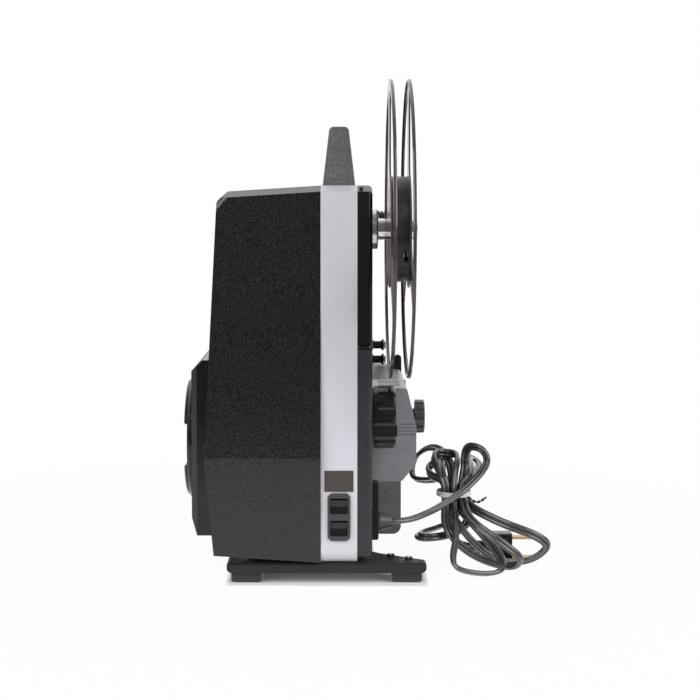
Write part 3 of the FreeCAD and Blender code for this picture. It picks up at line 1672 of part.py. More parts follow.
def switch_parts():
    half = S.escutcheon_width / 2
    rise = S.escutcheon_height / 2
    window_half = S.rocker_width / 2 + S.moving_gap
    window_rise = S.rocker_height / 2 + S.rocker_swing_gap
    centres = (S.switch_height - S.rocker_pitch / 2, S.switch_height + S.rocker_pitch / 2)
    plate = new_body("switch_escutcheon")
    made = sketch(plate, "rear", -S.escutcheon_thick)
    outline(made, [
        (-half + 2, S.switch_height - rise), (half - 2, S.switch_height - rise),
        (half, S.switch_height - rise + 2), (half, S.switch_height + rise - 2),
        (half - 2, S.switch_height + rise), (-half + 2, S.switch_height + rise),
        (-half, S.switch_height + rise - 2), (-half, S.switch_height - rise + 2),
    ])
    for centre in centres:
        box_outline(made, -window_half, window_half, centre - window_rise, centre + window_rise)
    pad(plate, made, S.escutcheon_thick)
    place(plate)
    case = new_body("switch_case")
    made = sketch(case, "rear", S.band_wall)
    case_half = half + S.escutcheon_lip / 2
    box_outline(made, -case_half, case_half, S.switch_height - rise, S.switch_height + rise)
    pad(case, made, S.switch_depth)
    wells = sketch(case, "rear", S.band_wall)
    for centre in centres:
        box_outline(wells, -window_half, window_half, centre - window_rise, centre + window_rise)
    cut(case, wells, S.rocker_depth + 2)
    bores = sketch(case, "side", -window_half - S.rocker_pin_length - S.moving_gap)
    for centre in centres:
        circle(bores, S.rocker_pivot_y, centre, S.rocker_pin_radius + S.running_gap)
    cut(case, bores, (window_half + S.rocker_pin_length + S.moving_gap) * 2)
    place(case)
    for label, centre in zip(("lower_rocker", "upper_rocker"), centres):
        rocker(label, centre, window_half)


def rocker(label, centre, window_half):
    """A switch rocker with a shallow dished face, on pins that turn in the switch case."""
    body = new_body(label)
    made = sketch(body, "side", -S.rocker_width / 2)
    rise = S.rocker_height / 2
    front = -(S.rocker_pivot_y + S.rocker_stand)
    outline(made, [
        (S.rocker_back, -rise * 0.6),
        (0, -rise),
        (front, -rise),
        (front + S.rocker_dish, 0),
        (front, rise),
        (0, rise),
        (S.rocker_back, rise * 0.6),
    ])
    pad(body, made, S.rocker_width)
    half = S.rocker_width / 2 + S.rocker_pin_length
    pins = sketch(body, "side", -half)
    circle(pins, 0, 0, S.rocker_pin_radius)
    pad(body, pins, half * 2)
    place(body, 0, S.rocker_pivot_y, centre)


def label_plate():
    body = new_body("label_plate")
    made = sketch(body, "rear", -S.label_thick)
    box_outline(made, -S.label_width / 2, S.label_width / 2,
                S.label_centre - S.label_height / 2, S.label_centre + S.label_height / 2)
    pad(body, made, S.label_thick)
    place(body)


# Base plate, feet and tilt leg

def base_plate():
    body = new_body("base_plate")
    made = sketch(body, "plan", S.foot_height)
    rear = S.base_rear
    wing = rear + S.base_wing_depth
    front = S.body_length - S.base_rear
    front_wing = front - S.base_wing_depth
    step = S.base_wing_slope
    outline(made, [
        (-S.base_left_reach, rear),
        (S.base_right_reach, rear),
        (S.base_right_reach, rear + S.base_end_margin),
        (S.base_pan_right + step, wing),
        (S.base_pan_right, wing + step),
        (S.base_pan_right, front_wing - step),
        (S.base_pan_right + step, front_wing),
        (S.front_right_reach, front - S.base_end_margin),
        (S.front_right_reach, front),
        (-S.base_left_reach, front),
        (-S.base_left_reach, front_wing),
        (-S.base_pan_left, front_wing - step),
        (-S.base_pan_left, wing + step),
        (-S.base_left_reach, wing),
    ])
    pad(body, made, S.base_thick)
    top = base_top.value
    low = S.foot_height.value

    def rim_edge(a, b):
        return abs(a.z - top) < 0.01 and abs(b.z - top) < 0.01

    round_edges(body, rim_edge, S.base_edge, "Chamfer")

    def under_edge(a, b):
        at_left = max(a.x, b.x) < -S.base_left_reach.value + 0.01
        at_right = min(a.x, b.x) > S.front_right_reach.value + 5
        return abs(a.z - low) < 0.01 and abs(b.z - low) < 0.01 and (at_left or at_right)

    round_edges(body, under_edge, S.base_edge * 1.5, "Chamfer")
    pan = sketch(body, "plan", S.foot_height)
    box_outline(pan, -S.base_pan_left + S.base_rim, S.base_pan_right - S.base_rim,
                wing + step, front_wing - step)
    cut(body, pan, S.base_thick - S.base_floor)
    leg_hole = sketch(body, "plan", S.foot_height)
    circle(leg_hole, S.leg_x, leg_y, S.leg_radius + S.moving_gap)
    cut(body, leg_hole, S.base_thick)
    seats = sketch(body, "plan", base_top)
    for x, y in base_screw_places():
        circle(seats, x, y, S.base_screw_radius + S.seat_gap / 2)
    cut(body, seats, S.base_screw_seat, along=-1)
    place(body)


def base_screw_places():
    return [(S.base_screw_one_x, S.base_screw_one_y), (S.base_screw_two_x, S.base_screw_two_y)]


def base_screws():
    """Two slotted cheese-head screws in the base's rear right wing."""
    body = new_body("base_screws")
    made = sketch(body, "plan", base_top - S.base_screw_seat + S.seat_gap / 4)
    slots = sketch(body, "plan", base_top + S.base_screw_stand - S.screw_slot_depth)
    reach = S.base_screw_radius
    for x, y in base_screw_places():
        circle(made, x, y, reach)
        box_outline(slots, x - S.screw_slot / 2, x + S.screw_slot / 2, y - reach, y + reach)
    pad(body, made, S.base_screw_seat - S.seat_gap / 4 + S.base_screw_stand)
    cut(body, slots, S.screw_slot_depth + 1)
    place(body)


def rubber_feet():
    body = new_body("rubber_feet")
    made = sketch(body, "plan", 0)
    rear = S.base_rear + S.foot_inset
    front = S.body_length - S.base_rear - S.foot_inset
    left = -S.base_left_reach + S.foot_inset
    for y0, y1, right in ((rear, rear + S.foot_depth, S.base_right_reach),
                          (front - S.foot_depth, front, S.front_right_reach)):
        box_outline(made, left, left + S.foot_length, y0, y1)
        box_outline(made, right - S.foot_inset - S.foot_length, right - S.foot_inset, y0, y1)
    pad(body, made, S.foot_height)
    round_edges(body, lambda a, b: max(a.z, b.z) < 0.01, S.foot_chamfer, "Chamfer")
    place(body)


def tilt_leg():
    low = S.leg_pad_gap
    leg = turned_z("tilt_leg", [
        (low, 0),
        (low, S.leg_pad_radius),
        (low + S.leg_pad_thick, S.leg_pad_radius),
        (low + S.leg_pad_thick, S.leg_radius),
        (low + S.leg_length, S.leg_radius),
        (low + S.leg_length, 0),
    ])
    place(leg, S.leg_x, leg_y, 0)


# Motor, fan and drive, inside the covers

motor_end_x = -S.motor_end_reach
motor_start_x = motor_end_x - S.motor_length
pulley_end = S.mech_plate_x - S.pulley_gap
pulley_start = pulley_end - S.pulley_width
fan_start = motor_start_x - S.motor_fan_gap - S.fan_width


def motor_parts():
    bore = S.motor_shaft_radius + S.running_gap
    case = turned_x("motor_case", [
        (motor_start_x, bore),
        (motor_start_x, S.motor_radius * 0.5),
        (motor_start_x + S.motor_cap, S.motor_radius),
        (motor_end_x - S.motor_cap, S.motor_radius),
        (motor_end_x, S.motor_radius * 0.9),
        (motor_end_x, bore),
    ])
    made = sketch(case, "side", motor_end_x - S.motor_cap)
    rise = S.axis_height - S.motor_height
    lean = math.degrees(math.atan2(rise.value, (S.main_shaft_y - S.motor_y).value))
    for number in range(3):
        angle = math.radians(S.motor_post_turn.value + lean + 120 * number)
        circle(made, S.motor_post_circle * math.cos(angle), S.motor_post_circle * math.sin(angle),
               S.motor_post_radius)
    pad(case, made, S.mech_plate_x - motor_end_x + S.motor_cap)
    place(case, 0, S.motor_y, S.motor_height)
    rotor = turned_x("motor_shaft", [
        (fan_start, 0),
        (fan_start, S.motor_shaft_radius),
        (pulley_start, S.motor_shaft_radius),
        (pulley_start, S.motor_pulley_radius),
        (pulley_end, S.motor_pulley_radius),
        (pulley_end, 0),
    ])
    rim = S.fan_radius - S.fan_rim
    turn(rotor, "plan", [
        (fan_start - 1, S.fan_inlet_radius),
        (fan_start, S.fan_inlet_radius),
        (fan_start, rim),
        (fan_start + S.fan_width - 1, rim),
        (fan_start + S.fan_width - 1, S.motor_shaft_radius - 0.5),
        (fan_start + S.fan_width, S.motor_shaft_radius - 0.5),
        (fan_start + S.fan_width, rim + 1),
        (fan_start - 1, rim + 1),
    ], "H_Axis")
    made = sketch(rotor, "side", fan_start)
    box_outline(made, -0.6, 0.6, S.fan_inlet_radius + 1, rim + 0.2)
    blade = pad(rotor, made, S.fan_width - 0.5)
    ring_pattern(rotor, [blade], made, 16)
    place(rotor, 0, S.motor_y, S.motor_height)


def drive_parts():
    """The main shaft with its pulley, and the shutter on a cross shaft, geared by bevels."""
    gear = S.bevel_radius
    apex = S.shutter_x
    shaft = turned_x("main_shaft", [
        (pulley_start, 0),
        (pulley_start, S.main_pulley_radius),
        (pulley_end, S.main_pulley_radius),
        (pulley_end, S.main_shaft_radius),
        (apex - gear * 1.35, S.main_shaft_radius),
        (apex - gear * 1.35, gear),
        (apex - gear * 1.05, gear),
        (apex - gear * 0.55, gear * 0.5),
        (apex - gear * 0.55, 0),
    ])
    place(shaft, 0, S.main_shaft_y, S.axis_height)
    body = turned_y("shutter", [
        (S.main_shaft_y + gear * 0.55, 0),
        (S.main_shaft_y + gear * 0.55, gear * 0.5),
        (S.main_shaft_y + gear * 1.05, gear),
        (S.main_shaft_y + gear * 1.35, gear),
        (S.main_shaft_y + gear * 1.35, S.shutter_shaft_radius),
        (S.shutter_y + S.shutter_thick * 3, S.shutter_shaft_radius),
        (S.shutter_y + S.shutter_thick * 3, 0),
    ])
    made = sketch(body, "rear", S.shutter_y - S.shutter_thick / 2)
    circle(made, 0, 0, S.shutter_radius)
    pad(body, made, S.shutter_thick)
    window = sketch(body, "rear", S.shutter_y - S.shutter_thick / 2)
    inner = S.shutter_hub
    outer = S.shutter_radius + 2
    outline(window, [
        (-inner * 0.5, inner),
        (inner * 0.5, inner),
        (outer * 0.62, outer),
        (-outer * 0.62, outer),
    ])
    opening = cut(body, window, S.shutter_thick)
    ring_pattern(body, [opening], window, 3)
    place(body, apex, 0, S.axis_height)
    drive_belt()


def belt_loop(first, second, grow):
    """A closed run round two pulleys given as (y, z, radius), let out by an amount."""
    y0, z0, r0 = first
    y1, z1, r1 = second
    r0 += grow
    r1 += grow
    length = math.hypot(y1 - y0, z1 - z0)
    heading = math.atan2(z1 - z0, y1 - y0)
    lean = math.acos((r0 - r1) / length)

    def at(y, z, radius, angle):
        return FreeCAD.Vector(0, y + radius * math.cos(angle), z + radius * math.sin(angle))

    up0 = at(y0, z0, r0, heading + lean)
    low0 = at(y0, z0, r0, heading - lean)
    up1 = at(y1, z1, r1, heading + lean)
    low1 = at(y1, z1, r1, heading - lean)
    back = at(y0, z0, r0, heading + math.pi)
    far = at(y1, z1, r1, heading)
    return Part.Wire([
        Part.Arc(up0, back, low0).toShape(),
        Part.LineSegment(low0, low1).toShape(),
        Part.Arc(low1, far, up1).toShape(),
        Part.LineSegment(up1, up0).toShape(),
    ])


def drive_belt():
    motor = (S.motor_y.value, S.motor_height.value, S.motor_pulley_radius.value)
    main = (S.main_shaft_y.value, S.axis_height.value, S.main_pulley_radius.value)
    inside = S.running_gap.value
    outer = Part.Face(belt_loop(motor, main, inside + S.belt_thick.value))
    inner = Part.Face(belt_loop(motor, main, inside))
    side = S.belt_margin.value
    ring = outer.cut(inner).extrude(FreeCAD.Vector(S.pulley_width.value - side * 2, 0, 0))
    belt = as_node(doc.addObject("Part::Feature", "drive_belt"), "drive_belt")
    belt.Shape = ring.Solids[0]
    place(belt, pulley_start + side, 0, 0)


def transformer():
    body = new_body("transformer")
    made = sketch(body, "side", -S.transformer_width - S.transformer_offset)
    box_outline(made, S.transformer_y, S.transformer_y + S.transformer_length,
                S.transformer_bottom, S.transformer_bottom + S.transformer_height)
    pad(body, made, S.transformer_width)
    round_edges(body, lambda a, b: runs_along(a, b, "x"), S.motor_cap, "Chamfer")
    made = sketch(body, "side", -S.transformer_offset)
    margin = S.transformer_length * 0.2
    box_outline(made, S.transformer_y + margin, S.transformer_y + S.transformer_length - margin,
                S.transformer_bottom + 4, S.transformer_bottom + S.transformer_height * 0.6)
    pad(body, made, S.mech_plate_x + S.transformer_offset)
    place(body)


# Power cord: its lead, the hank that hangs at the machine's side, its plug and its tie

CORD_TIE = (72.0, 60.0, 44.0)
SLOT_PITCH = 5.3
TIE_REACH = 6.5
FIRST_SLOT = (1.2, -2.2)
LEAD_BENDS = [(37, 16, 35.2), (45.7, 21, 35.6), (58.4, 31, 39), (69.5, 40, 43.7)]
HANK_START = (77.5, 47, 48)
TAIL_BENDS = [(70, 70, 26), (73, 64, 12), (80, 58, 9.8)]
# how far along and how far aside each point of a loop stands
LOOP_SHARES = ((0.35, 0.6), (0.72, 1.0), (0.97, 0.6), (0.97, -0.6), (0.72, -1.0), (0.35, -0.6))
# each loop: up or down from the tie, its place in the tie, then its tip, half spread and bow
LOOPS = [
    (1, (1, 0), (85.5, 57.2, 73.9), (6.7, -4.1, -1.3), (3.7, 4.3, -1.2)),
    (-1, (-1, 0), (126.2, 45, 8), (10.3, -3.5, 9.1), (-2, -10.9, -4.2)),
    (1, (0, -1), (66.5, 83, 73), (-9.3, 1.7, 0.4), (-4.4, -2, 7.1)),
    (-1, (0, 0), (80.9, 12.8, 4.1), (-16.9, -1.6, 2.6), (7.8, -5.7, -6.6)),
    (1, (0, 1), (50.5, 123, 53.5), (3, -1.5, 14.5), (8, -0.5, 8.5)),
    (-1, (1, 1), (47.1, 52.3, 17.6), (-2.2, 10.9, 0.2), (16.8, 9.4, -5.2)),
    (1, (1, -1), (86.5, 95.8, 60.6), (8.3, 7.6, -1.6), (11.3, -8.5, -0.1)),
    (-1, (-1, -1), (111.4, 27.9, 4.7), (6.8, -8.1, 6.1), (-14.3, -8.3, 2)),
    (1, (-1, 1), (66.2, 84.7, 66.3), (5.5, -7.6, 3.9), (-7.5, -3.8, 0.7)),
]


def cord_vector(x, y, z):
    return FreeCAD.Vector(as_size(x).value, as_size(y).value, as_size(z).value)


def loop_points(side, slot_in, slot_out, tip, spread, bow):
    """The six points of one loop, from its place in the tie out to its tip and back."""
    points = []
    for number, (along, aside) in enumerate(LOOP_SHARES):
        root = (slot_in if number < 3 else slot_out) + cord_vector(0, 0, TIE_REACH * side)
        lift = 4 * along * (1 - along)
        points.append(root + (tip - root) * along + spread * aside + bow * lift)
    return points


def hank_points():
    """The hank's route: loops up and down from the tie, then the stretch to the plug."""
    tie = cord_vector(*CORD_TIE)
    slot_in = tie + cord_vector(FIRST_SLOT[0], FIRST_SLOT[1], 0) * SLOT_PITCH
    points = []
    for side, slot, tip, spread, bow in LOOPS:
        slot_out = tie + cord_vector(slot[0], slot[1], 0) * SLOT_PITCH
        points += loop_points(
            side, slot_in, slot_out, cord_vector(*tip), cord_vector(*spread), cord_vector(*bow))
        points.append(slot_out + cord_vector(0, 0, TIE_REACH * side))
        points.append(slot_out - cord_vector(0, 0, TIE_REACH * side))
        slot_in = slot_out
    return points


def cord_path(label, points):
    """Straight runs joined by arcs, each as wide as the shorter run beside it allows."""
    edges = []
    last = points[0]
    radii = []
    for before, corner, after in zip(points, points[1:], points[2:]):
        back = before - corner
        ahead = after - corner
        reach = 0.45 * min(back.Length, ahead.Length)
        half_turn = (math.pi - back.getAngle(ahead)) / 2
        if half_turn < 0.002:
            continue
        radius = reach / math.tan(half_turn)
        back.normalize()
        ahead.normalize()
        toward = back + ahead
        toward.normalize()
        middle = corner + toward * (math.hypot(reach, radius) - radius)
        start = corner + back * reach
        end = corner + ahead * reach
        edges.append(Part.LineSegment(last, start).toShape())
        edges.append(Part.Arc(start, middle, end).toShape())
        last = end
        radii.append(radius)
    edges.append(Part.LineSegment(last, points[-1]).toShape())
    print(label, "tightest arcs", [round(radius, 1) for radius in sorted(radii)[:4]])
    return Part.Wire(edges)


def cord_tube(label, points):
    """A round tube along a cord's path, its volume held against section times length."""
    path = cord_path(label, points)
    radius = S.cord_width.value / 2
    profile = Part.Wire(Part.Circle(points[0], points[1] - points[0], radius).toShape())
    solid = path.makePipeShell([profile], True, False)
    share = abs(solid.Volume) / (math.pi * radius ** 2 * path.Length)
    print(label, "length", round(path.Length, 1), "volume share", round(share, 4))
    if abs(share - 1) > 0.01:
        raise RuntimeError(label + ": the tube's volume is off")
    tube = as_node(doc.addObject("Part::Feature", label), label)
    tube.Shape = solid
    place(tube)
    return path


def least_gap(label, path, apart):
    """Prints the least clear distance between stretches of the cord that aren't neighbours."""
    count = int(path.Length / 1.5)
    step = path.Length / count
    marks = path.discretize(count + 1)
    skip = int(apart / step)
    least = min(
        marks[i].distanceToPoint(marks[j])
        for i in range(len(marks))
        for j in range(i + skip, len(marks))
    )
    gap = least - S.cord_width.value
    print(label, "least gap to itself", round(gap, 2))
    if gap < 0.4:
        raise RuntimeError(label + ": the cord touches itself")


def power_cord():
    start = cord_vector(relief_end, relief_y, S.relief_height)
    bends = [cord_vector(*point) for point in LEAD_BENDS]
    first = cord_vector(*HANK_START)
    join = (bends[-1] + first) * 0.5
    cord_tube("power_cord_lead", [start] + bends + [join])
    tail = [cord_vector(*point) for point in TAIL_BENDS]
    end = cord_vector(S.plug_x, S.plug_y, S.plug_centre)
    path = cord_tube("power_cord_hank", [join, first] + hank_points() + tail + [end])
    least_gap("power_cord_hank", path, 14)


def power_plug():
    """A flat two-blade plug lying on its narrow edge."""
    body = new_body("power_plug")
    start = S.plug_x + S.plug_collar_length
    made = sketch(body, "side", start)
    half = S.plug_thick / 2
    box_outline(made, S.plug_y - half, S.plug_y + half,
                S.plug_centre - S.plug_height / 2, S.plug_centre + S.plug_height / 2)
    pad(body, made, S.plug_length - S.plug_collar_length)
    low = start.value

    def long_edge(a, b):
        return runs_along(a, b, "x") or (abs(a.x - low) < 0.01 and abs(b.x - low) < 0.01)

    round_edges(body, long_edge, S.plug_round)
    collar = sketch(body, "side", S.plug_x)
    circle(collar, S.plug_y, S.plug_centre, S.plug_collar_radius)
    pad(body, collar, S.plug_collar_length + 1)
    place(body)
    blades = new_body("plug_blades")
    made = sketch(blades, "side", S.plug_x + S.plug_length)
    for sign in (-1, 1):
        centre = S.plug_centre + S.blade_spacing / 2 * sign
        box_outline(made, S.plug_y - S.blade_width / 2, S.plug_y + S.blade_width / 2,
                    centre - S.blade_thick / 2, centre + S.blade_thick / 2)
    pad(blades, made, S.blade_length)
    tip = (S.plug_x + S.plug_length + S.blade_length).value

    def tip_corner(a, b):
        return runs_along(a, b, "z") and abs(a.x - tip) < 0.01

    round_edges(blades, tip_corner, S.blade_width / 4, "Chamfer")
    place(blades)


def twist_tie():
    """The band that holds the hank at its waist."""
    low = CORD_TIE[2] - S.tie_height / 2
    high = CORD_TIE[2] + S.tie_height / 2
    inner = S.tie_radius - S.tie_thick
    body = turned_z("twist_tie", [(low, inner), (low, S.tie_radius), (high, S.tie_radius), (high, inner)])
    place(body, CORD_TIE[0], CORD_TIE[1], 0)




# Build every piece

chassis_band()
mechanism_plate()
motor_cover()
fan_cowl()
vent_grille()
side_panels()
carry_handle()
spindle_flanges()
flange_screws()
spindle("takeup_spindle", S.takeup_y, hub_start + S.moving_gap, hub_end - S.moving_gap, None)
spindle("supply_spindle", supply_y, None, None, S.supply_collar_x + S.supply_collar_length + S.moving_gap)
supply_collar()
reel_flange("reel_inner_flange", S.reel_plane, 1)
reel_hub()
reel_flange("reel_outer_flange", hub_end, -1)
guide_roller("one", S.roller_one_height)
guide_roller("two", S.roller_two_height)
roller_pins()
film_deflector()
control_knob()
lamphouse_cover()
lamp_cover_knob()
film_channel()
lamp_parts()
gate_block()
pressure_plate()
gate_lever()
lens_parts()
film_sprocket()
cord_inlet()
switch_parts()
label_plate()
base_plate()
base_screws()
rubber_feet()
tilt_leg()
motor_parts()
drive_parts()
transformer()
power_cord()
power_plug()
twist_tie()

doc.recompute()

# Check every object before anything is written

for thing in doc.Objects:
    if "Invalid" in thing.State or "Error" in thing.State:
        raise RuntimeError(thing.Label + " failed: " + str(thing.State))
for thing in nodes:
    if thing.Shape.isNull() or not thing.Shape.isValid() or not thing.Shape.Solids:
        raise RuntimeError(thing.Label + " has no valid solid")

for thing in nodes:
    thing.Shape.exportStep("parts/" + thing.Label + ".step")
box = FreeCAD.BoundBox()
for thing in nodes:
    box.add(thing.Shape.BoundBox)
print(len(nodes), "nodes, box", box)
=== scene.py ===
import math

import bmesh
import bpy
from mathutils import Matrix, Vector


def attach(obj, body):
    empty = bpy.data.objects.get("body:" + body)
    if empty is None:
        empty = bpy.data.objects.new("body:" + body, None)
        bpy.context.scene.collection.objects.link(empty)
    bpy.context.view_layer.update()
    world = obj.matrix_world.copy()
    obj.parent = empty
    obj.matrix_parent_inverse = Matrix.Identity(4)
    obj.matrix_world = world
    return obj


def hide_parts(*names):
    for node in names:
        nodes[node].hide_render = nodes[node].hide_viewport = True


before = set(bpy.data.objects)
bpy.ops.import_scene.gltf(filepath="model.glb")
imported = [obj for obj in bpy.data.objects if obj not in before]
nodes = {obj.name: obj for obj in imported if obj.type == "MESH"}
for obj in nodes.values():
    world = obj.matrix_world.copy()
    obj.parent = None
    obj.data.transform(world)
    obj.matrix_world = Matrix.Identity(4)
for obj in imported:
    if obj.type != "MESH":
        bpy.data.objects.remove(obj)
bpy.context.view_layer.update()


# Camera: behind the machine at half its height, on the photograph's long lens. A small shift
# gives the photograph's framing. Places are in millimetres from the band's middle plane,
# its rear face and the table.

ORIGIN = Vector((0.021875, -0.0855, 0.0))


def at(x, y, z):
    """A place in millimetres from the band's middle plane and rear face."""
    return ORIGIN + Vector((x, y, z)) / 1000


# The photograph's width, the lens's focal length and the frame's shift, in pixels.
frame_pixels, focal_pixels = 700, 1551
shift_right, shift_up = 11.03, -73.1
tilt = 87
camera_data = bpy.data.cameras.new("camera")
camera_data.sensor_width = 36.0
camera_data.lens = camera_data.sensor_width * focal_pixels / frame_pixels
camera_data.shift_x = shift_right / frame_pixels
camera_data.shift_y = shift_up / frame_pixels
camera_data.clip_start = 0.01
camera = bpy.data.objects.new("camera", camera_data)
camera.location = at(0, -905, 230)
camera.rotation_euler = (math.radians(tilt), 0, 0)
bpy.context.collection.objects.link(camera)
bpy.context.scene.camera = camera
bpy.context.scene.view_settings.view_transform = "Standard"


# Base plate: a pressed plate with two outriggers in dark textured paint. The body stands on
# it, and it stands on the four feet.

def new_material(name, colour, roughness, metallic=0.0):
    """A material of one colour and roughness, more or less metallic."""
    made = bpy.data.materials.new(name)
    made.use_nodes = True
    shader = made.node_tree.nodes["Principled BSDF"]
    shader.inputs["Base Color"].default_value = (*colour, 1)
    shader.inputs["Roughness"].default_value = roughness
    shader.inputs["Metallic"].default_value = metallic
    return made


def node(made, kind, **inputs):
    """Adds a shader node and sets its inputs by name."""
    new = made.node_tree.nodes.new(kind)
    for name, value in inputs.items():
        new.inputs[name.replace("_", " ")].default_value = value
    return new


def link(made, out, into):
    """Joins one node's output to another's input."""
    made.node_tree.links.new(out, into)


def object_space(made, scale=(1, 1, 1)):
    """Object coordinates, stretched by a scale."""
    source = node(made, "ShaderNodeTexCoord")
    mapping = node(made, "ShaderNodeMapping")
    mapping.inputs["Scale"].default_value = scale
    link(made, source.outputs["Object"], mapping.inputs["Vector"])
    return mapping.outputs["Vector"]


def noise(made, space, scale, detail=3.0, rough=0.55):
    """A noise whose grains stand about so many to the metre."""
    made_node = node(made, "ShaderNodeTexNoise", Scale=scale, Detail=detail, Roughness=rough)
    link(made, space, made_node.inputs["Vector"])
    return made_node.outputs["Fac"]


def ramp(made, source, low, high):
    """A ramp from one colour or grey to another, over the middle of a noise's range."""
    made_node = node(made, "ShaderNodeValToRGB")
    for end, place, value in zip(made_node.color_ramp.elements, (0.35, 0.65), (low, high)):
        end.position = place
        end.color = value if hasattr(value, "__len__") else (value, value, value, 1)
    link(made, source, made_node.inputs["Fac"])
    return made_node.outputs["Color"]


def principled(made):
    """A material's own surface shader."""
    return made.node_tree.nodes["Principled BSDF"]


def vary_roughness(made, source, low, high):
    """Lets the roughness wander between two values."""
    link(made, ramp(made, source, low, high), principled(made).inputs["Roughness"])


def bump(made, source, strength, depth):
    """A bump on the shader, over any bump that it has already."""
    made_node = node(made, "ShaderNodeBump", Strength=strength, Distance=depth)
    link(made, source, made_node.inputs["Height"])
    normal = principled(made).inputs["Normal"]
    if normal.is_linked:
        link(made, normal.links[0].from_socket, made_node.inputs["Normal"])
    link(made, made_node.outputs["Normal"], normal)


def paint(material, *names):
    """Gives a material to CAD nodes."""
    for name in names:
        data = nodes[name].data
        data.materials.clear()
        data.materials.append(material)


base_paint = new_material("base_paint", (0.022, 0.020, 0.021), 0.36)
principled(base_paint).inputs["Specular IOR Level"].default_value = 0.22
space = object_space(base_paint)
vary_roughness(base_paint, noise(base_paint, space, 150), 0.28, 0.48)
bump(base_paint, noise(base_paint, space, 900), 0.3, 0.0003)
paint(base_paint, "base_plate")


# Feet, supply collar and drive belt: black rubber, slightly uneven from the mould. The feet
# are pressed on, and the belt is stretched round its pulleys.

rubber = new_material("rubber", (0.016, 0.016, 0.016), 0.6)
space = object_space(rubber)
vary_roughness(rubber, noise(rubber, space, 300), 0.5, 0.7)
bump(rubber, noise(rubber, space, 800), 0.2, 0.0002)
paint(rubber, "rubber_feet", "supply_collar", "drive_belt")


# Chassis band: a rim of sheet metal bent round the whole body, in pale silver paint with a
# very fine upright brush and a soft cloudy tone.

def tint(made, source, spread):
    """Varies the base colour a little around its value."""
    colour = principled(made).inputs["Base Color"].default_value[:3]
    low = (*[c * (1 - spread) for c in colour], 1)
    high = (*[c * (1 + spread) for c in colour], 1)
    link(made, ramp(made, source, low, high), principled(made).inputs["Base Color"])


silver = new_material("band_silver", (0.60, 0.575, 0.63), 0.4, 0.25)
space = object_space(silver, (1, 1, 0.05))
brush = noise(silver, space, 1500, 2.0)
cloud = noise(silver, object_space(silver, (1, 1, 0.5)), 26, 2.0)
tint(silver, cloud, 0.06)
vary_roughness(silver, brush, 0.34, 0.46)
bump(silver, brush, 0.1, 0.0001)
paint(silver, "chassis_band")


# Mechanism plate, lamp bracket, gate, lens carrier and shutter: machined aluminium, brushed
# along its length.

aluminium = new_material("aluminium", (0.6, 0.6, 0.62), 0.36, 1.0)
space = object_space(aluminium, (1, 0.1, 1))
vary_roughness(aluminium, noise(aluminium, space, 1500), 0.3, 0.44)
paint(aluminium, "mechanism_plate", "lamp_bracket", "gate_block", "lens_carrier", "shutter")


# Screws, pins, shafts, the motor's case and the transformer: turned and pressed steel with
# fine marks round the axis of turning.

steel = new_material("steel", (0.56, 0.56, 0.58), 0.28, 1.0)
space = object_space(steel, (0.2, 1, 1))
grain = noise(steel, space, 1500)
vary_roughness(steel, grain, 0.2, 0.38)
bump(steel, grain, 0.05, 0.0001)
paint(steel, "flange_screws", "roller_pins", "pressure_plate", "lever_pin", "tilt_leg",
      "motor_shaft", "main_shaft", "transformer", "motor_case")


# Reel spindles and lamp reflector: polished chrome with the faint marks of the lathe.
# The reels slip over the spindles' keyed ends.

chrome = new_material("chrome", (0.72, 0.72, 0.73), 0.1, 1.0)
space = object_space(chrome, (0.3, 1, 1))
vary_roughness(chrome, noise(chrome, space, 900), 0.06, 0.16)
paint(chrome, "takeup_spindle", "supply_spindle", "lamp_reflector")


# Condenser, lens glasses and lamp bulb: clear glass with a thin coating, each held in its
# own ring or socket.

glass = new_material("lens_glass", (0.9, 0.93, 0.97), 0.02)
principled(glass).inputs["Transmission Weight"].default_value = 0.9
principled(glass).inputs["Coat Weight"].default_value = 0.4
space = object_space(glass)
vary_roughness(glass, noise(glass, space, 60), 0.01, 0.04)
paint(glass, "condenser_lens", "lens_glasses", "lamp_bulb")


# Film deflector and sprocket: pale plastic mouldings, which the film slides over and runs on.
# Their tone wanders a little.

ivory = new_material("guide_ivory", (0.62, 0.60, 0.58), 0.4)
space = object_space(ivory)
tint(ivory, noise(ivory, space, 120), 0.06)
paint(ivory, "film_deflector", "film_sprocket")


# Lamphouse cover and film channel: a folded cover in smooth mid grey satin paint with ribs
# along its side, held by its knob. The channel under it is a darker grey moulding.

lamphouse = new_material("lamphouse_grey", (0.222, 0.215, 0.238), 0.26)
space = object_space(lamphouse)
tint(lamphouse, noise(lamphouse, space, 400, 2.0), 0.03)
vary_roughness(lamphouse, noise(lamphouse, space, 350), 0.24, 0.29)
bump(lamphouse, noise(lamphouse, space, 1000), 0.06, 0.0001)
paint(lamphouse, "lamphouse_cover")

channel_grey = new_material("channel_grey", (0.105, 0.10, 0.108), 0.4)
space = object_space(channel_grey)
tint(channel_grey, noise(channel_grey, space, 400, 2.0), 0.1)
vary_roughness(channel_grey, noise(channel_grey, space, 350), 0.34, 0.48)
paint(channel_grey, "film_channel")


# Lamphouse knob: a fluted brown-black moulding, whose screw holds the lamphouse cover.
# It is a little paler than the other knobs.

lamp_knob_brown = new_material("lamp_knob_brown", (0.058, 0.048, 0.05), 0.24)
space = object_space(lamp_knob_brown)
vary_roughness(lamp_knob_brown, noise(lamp_knob_brown, space, 160), 0.18, 0.3)
paint(lamp_knob_brown, "lamp_cover_knob")


# Knobs, rollers, rockers, gate lever, plug and lens barrel: glossy black mouldings, pressed on
# their shafts or clipped in. The two base screws are blacked as well.

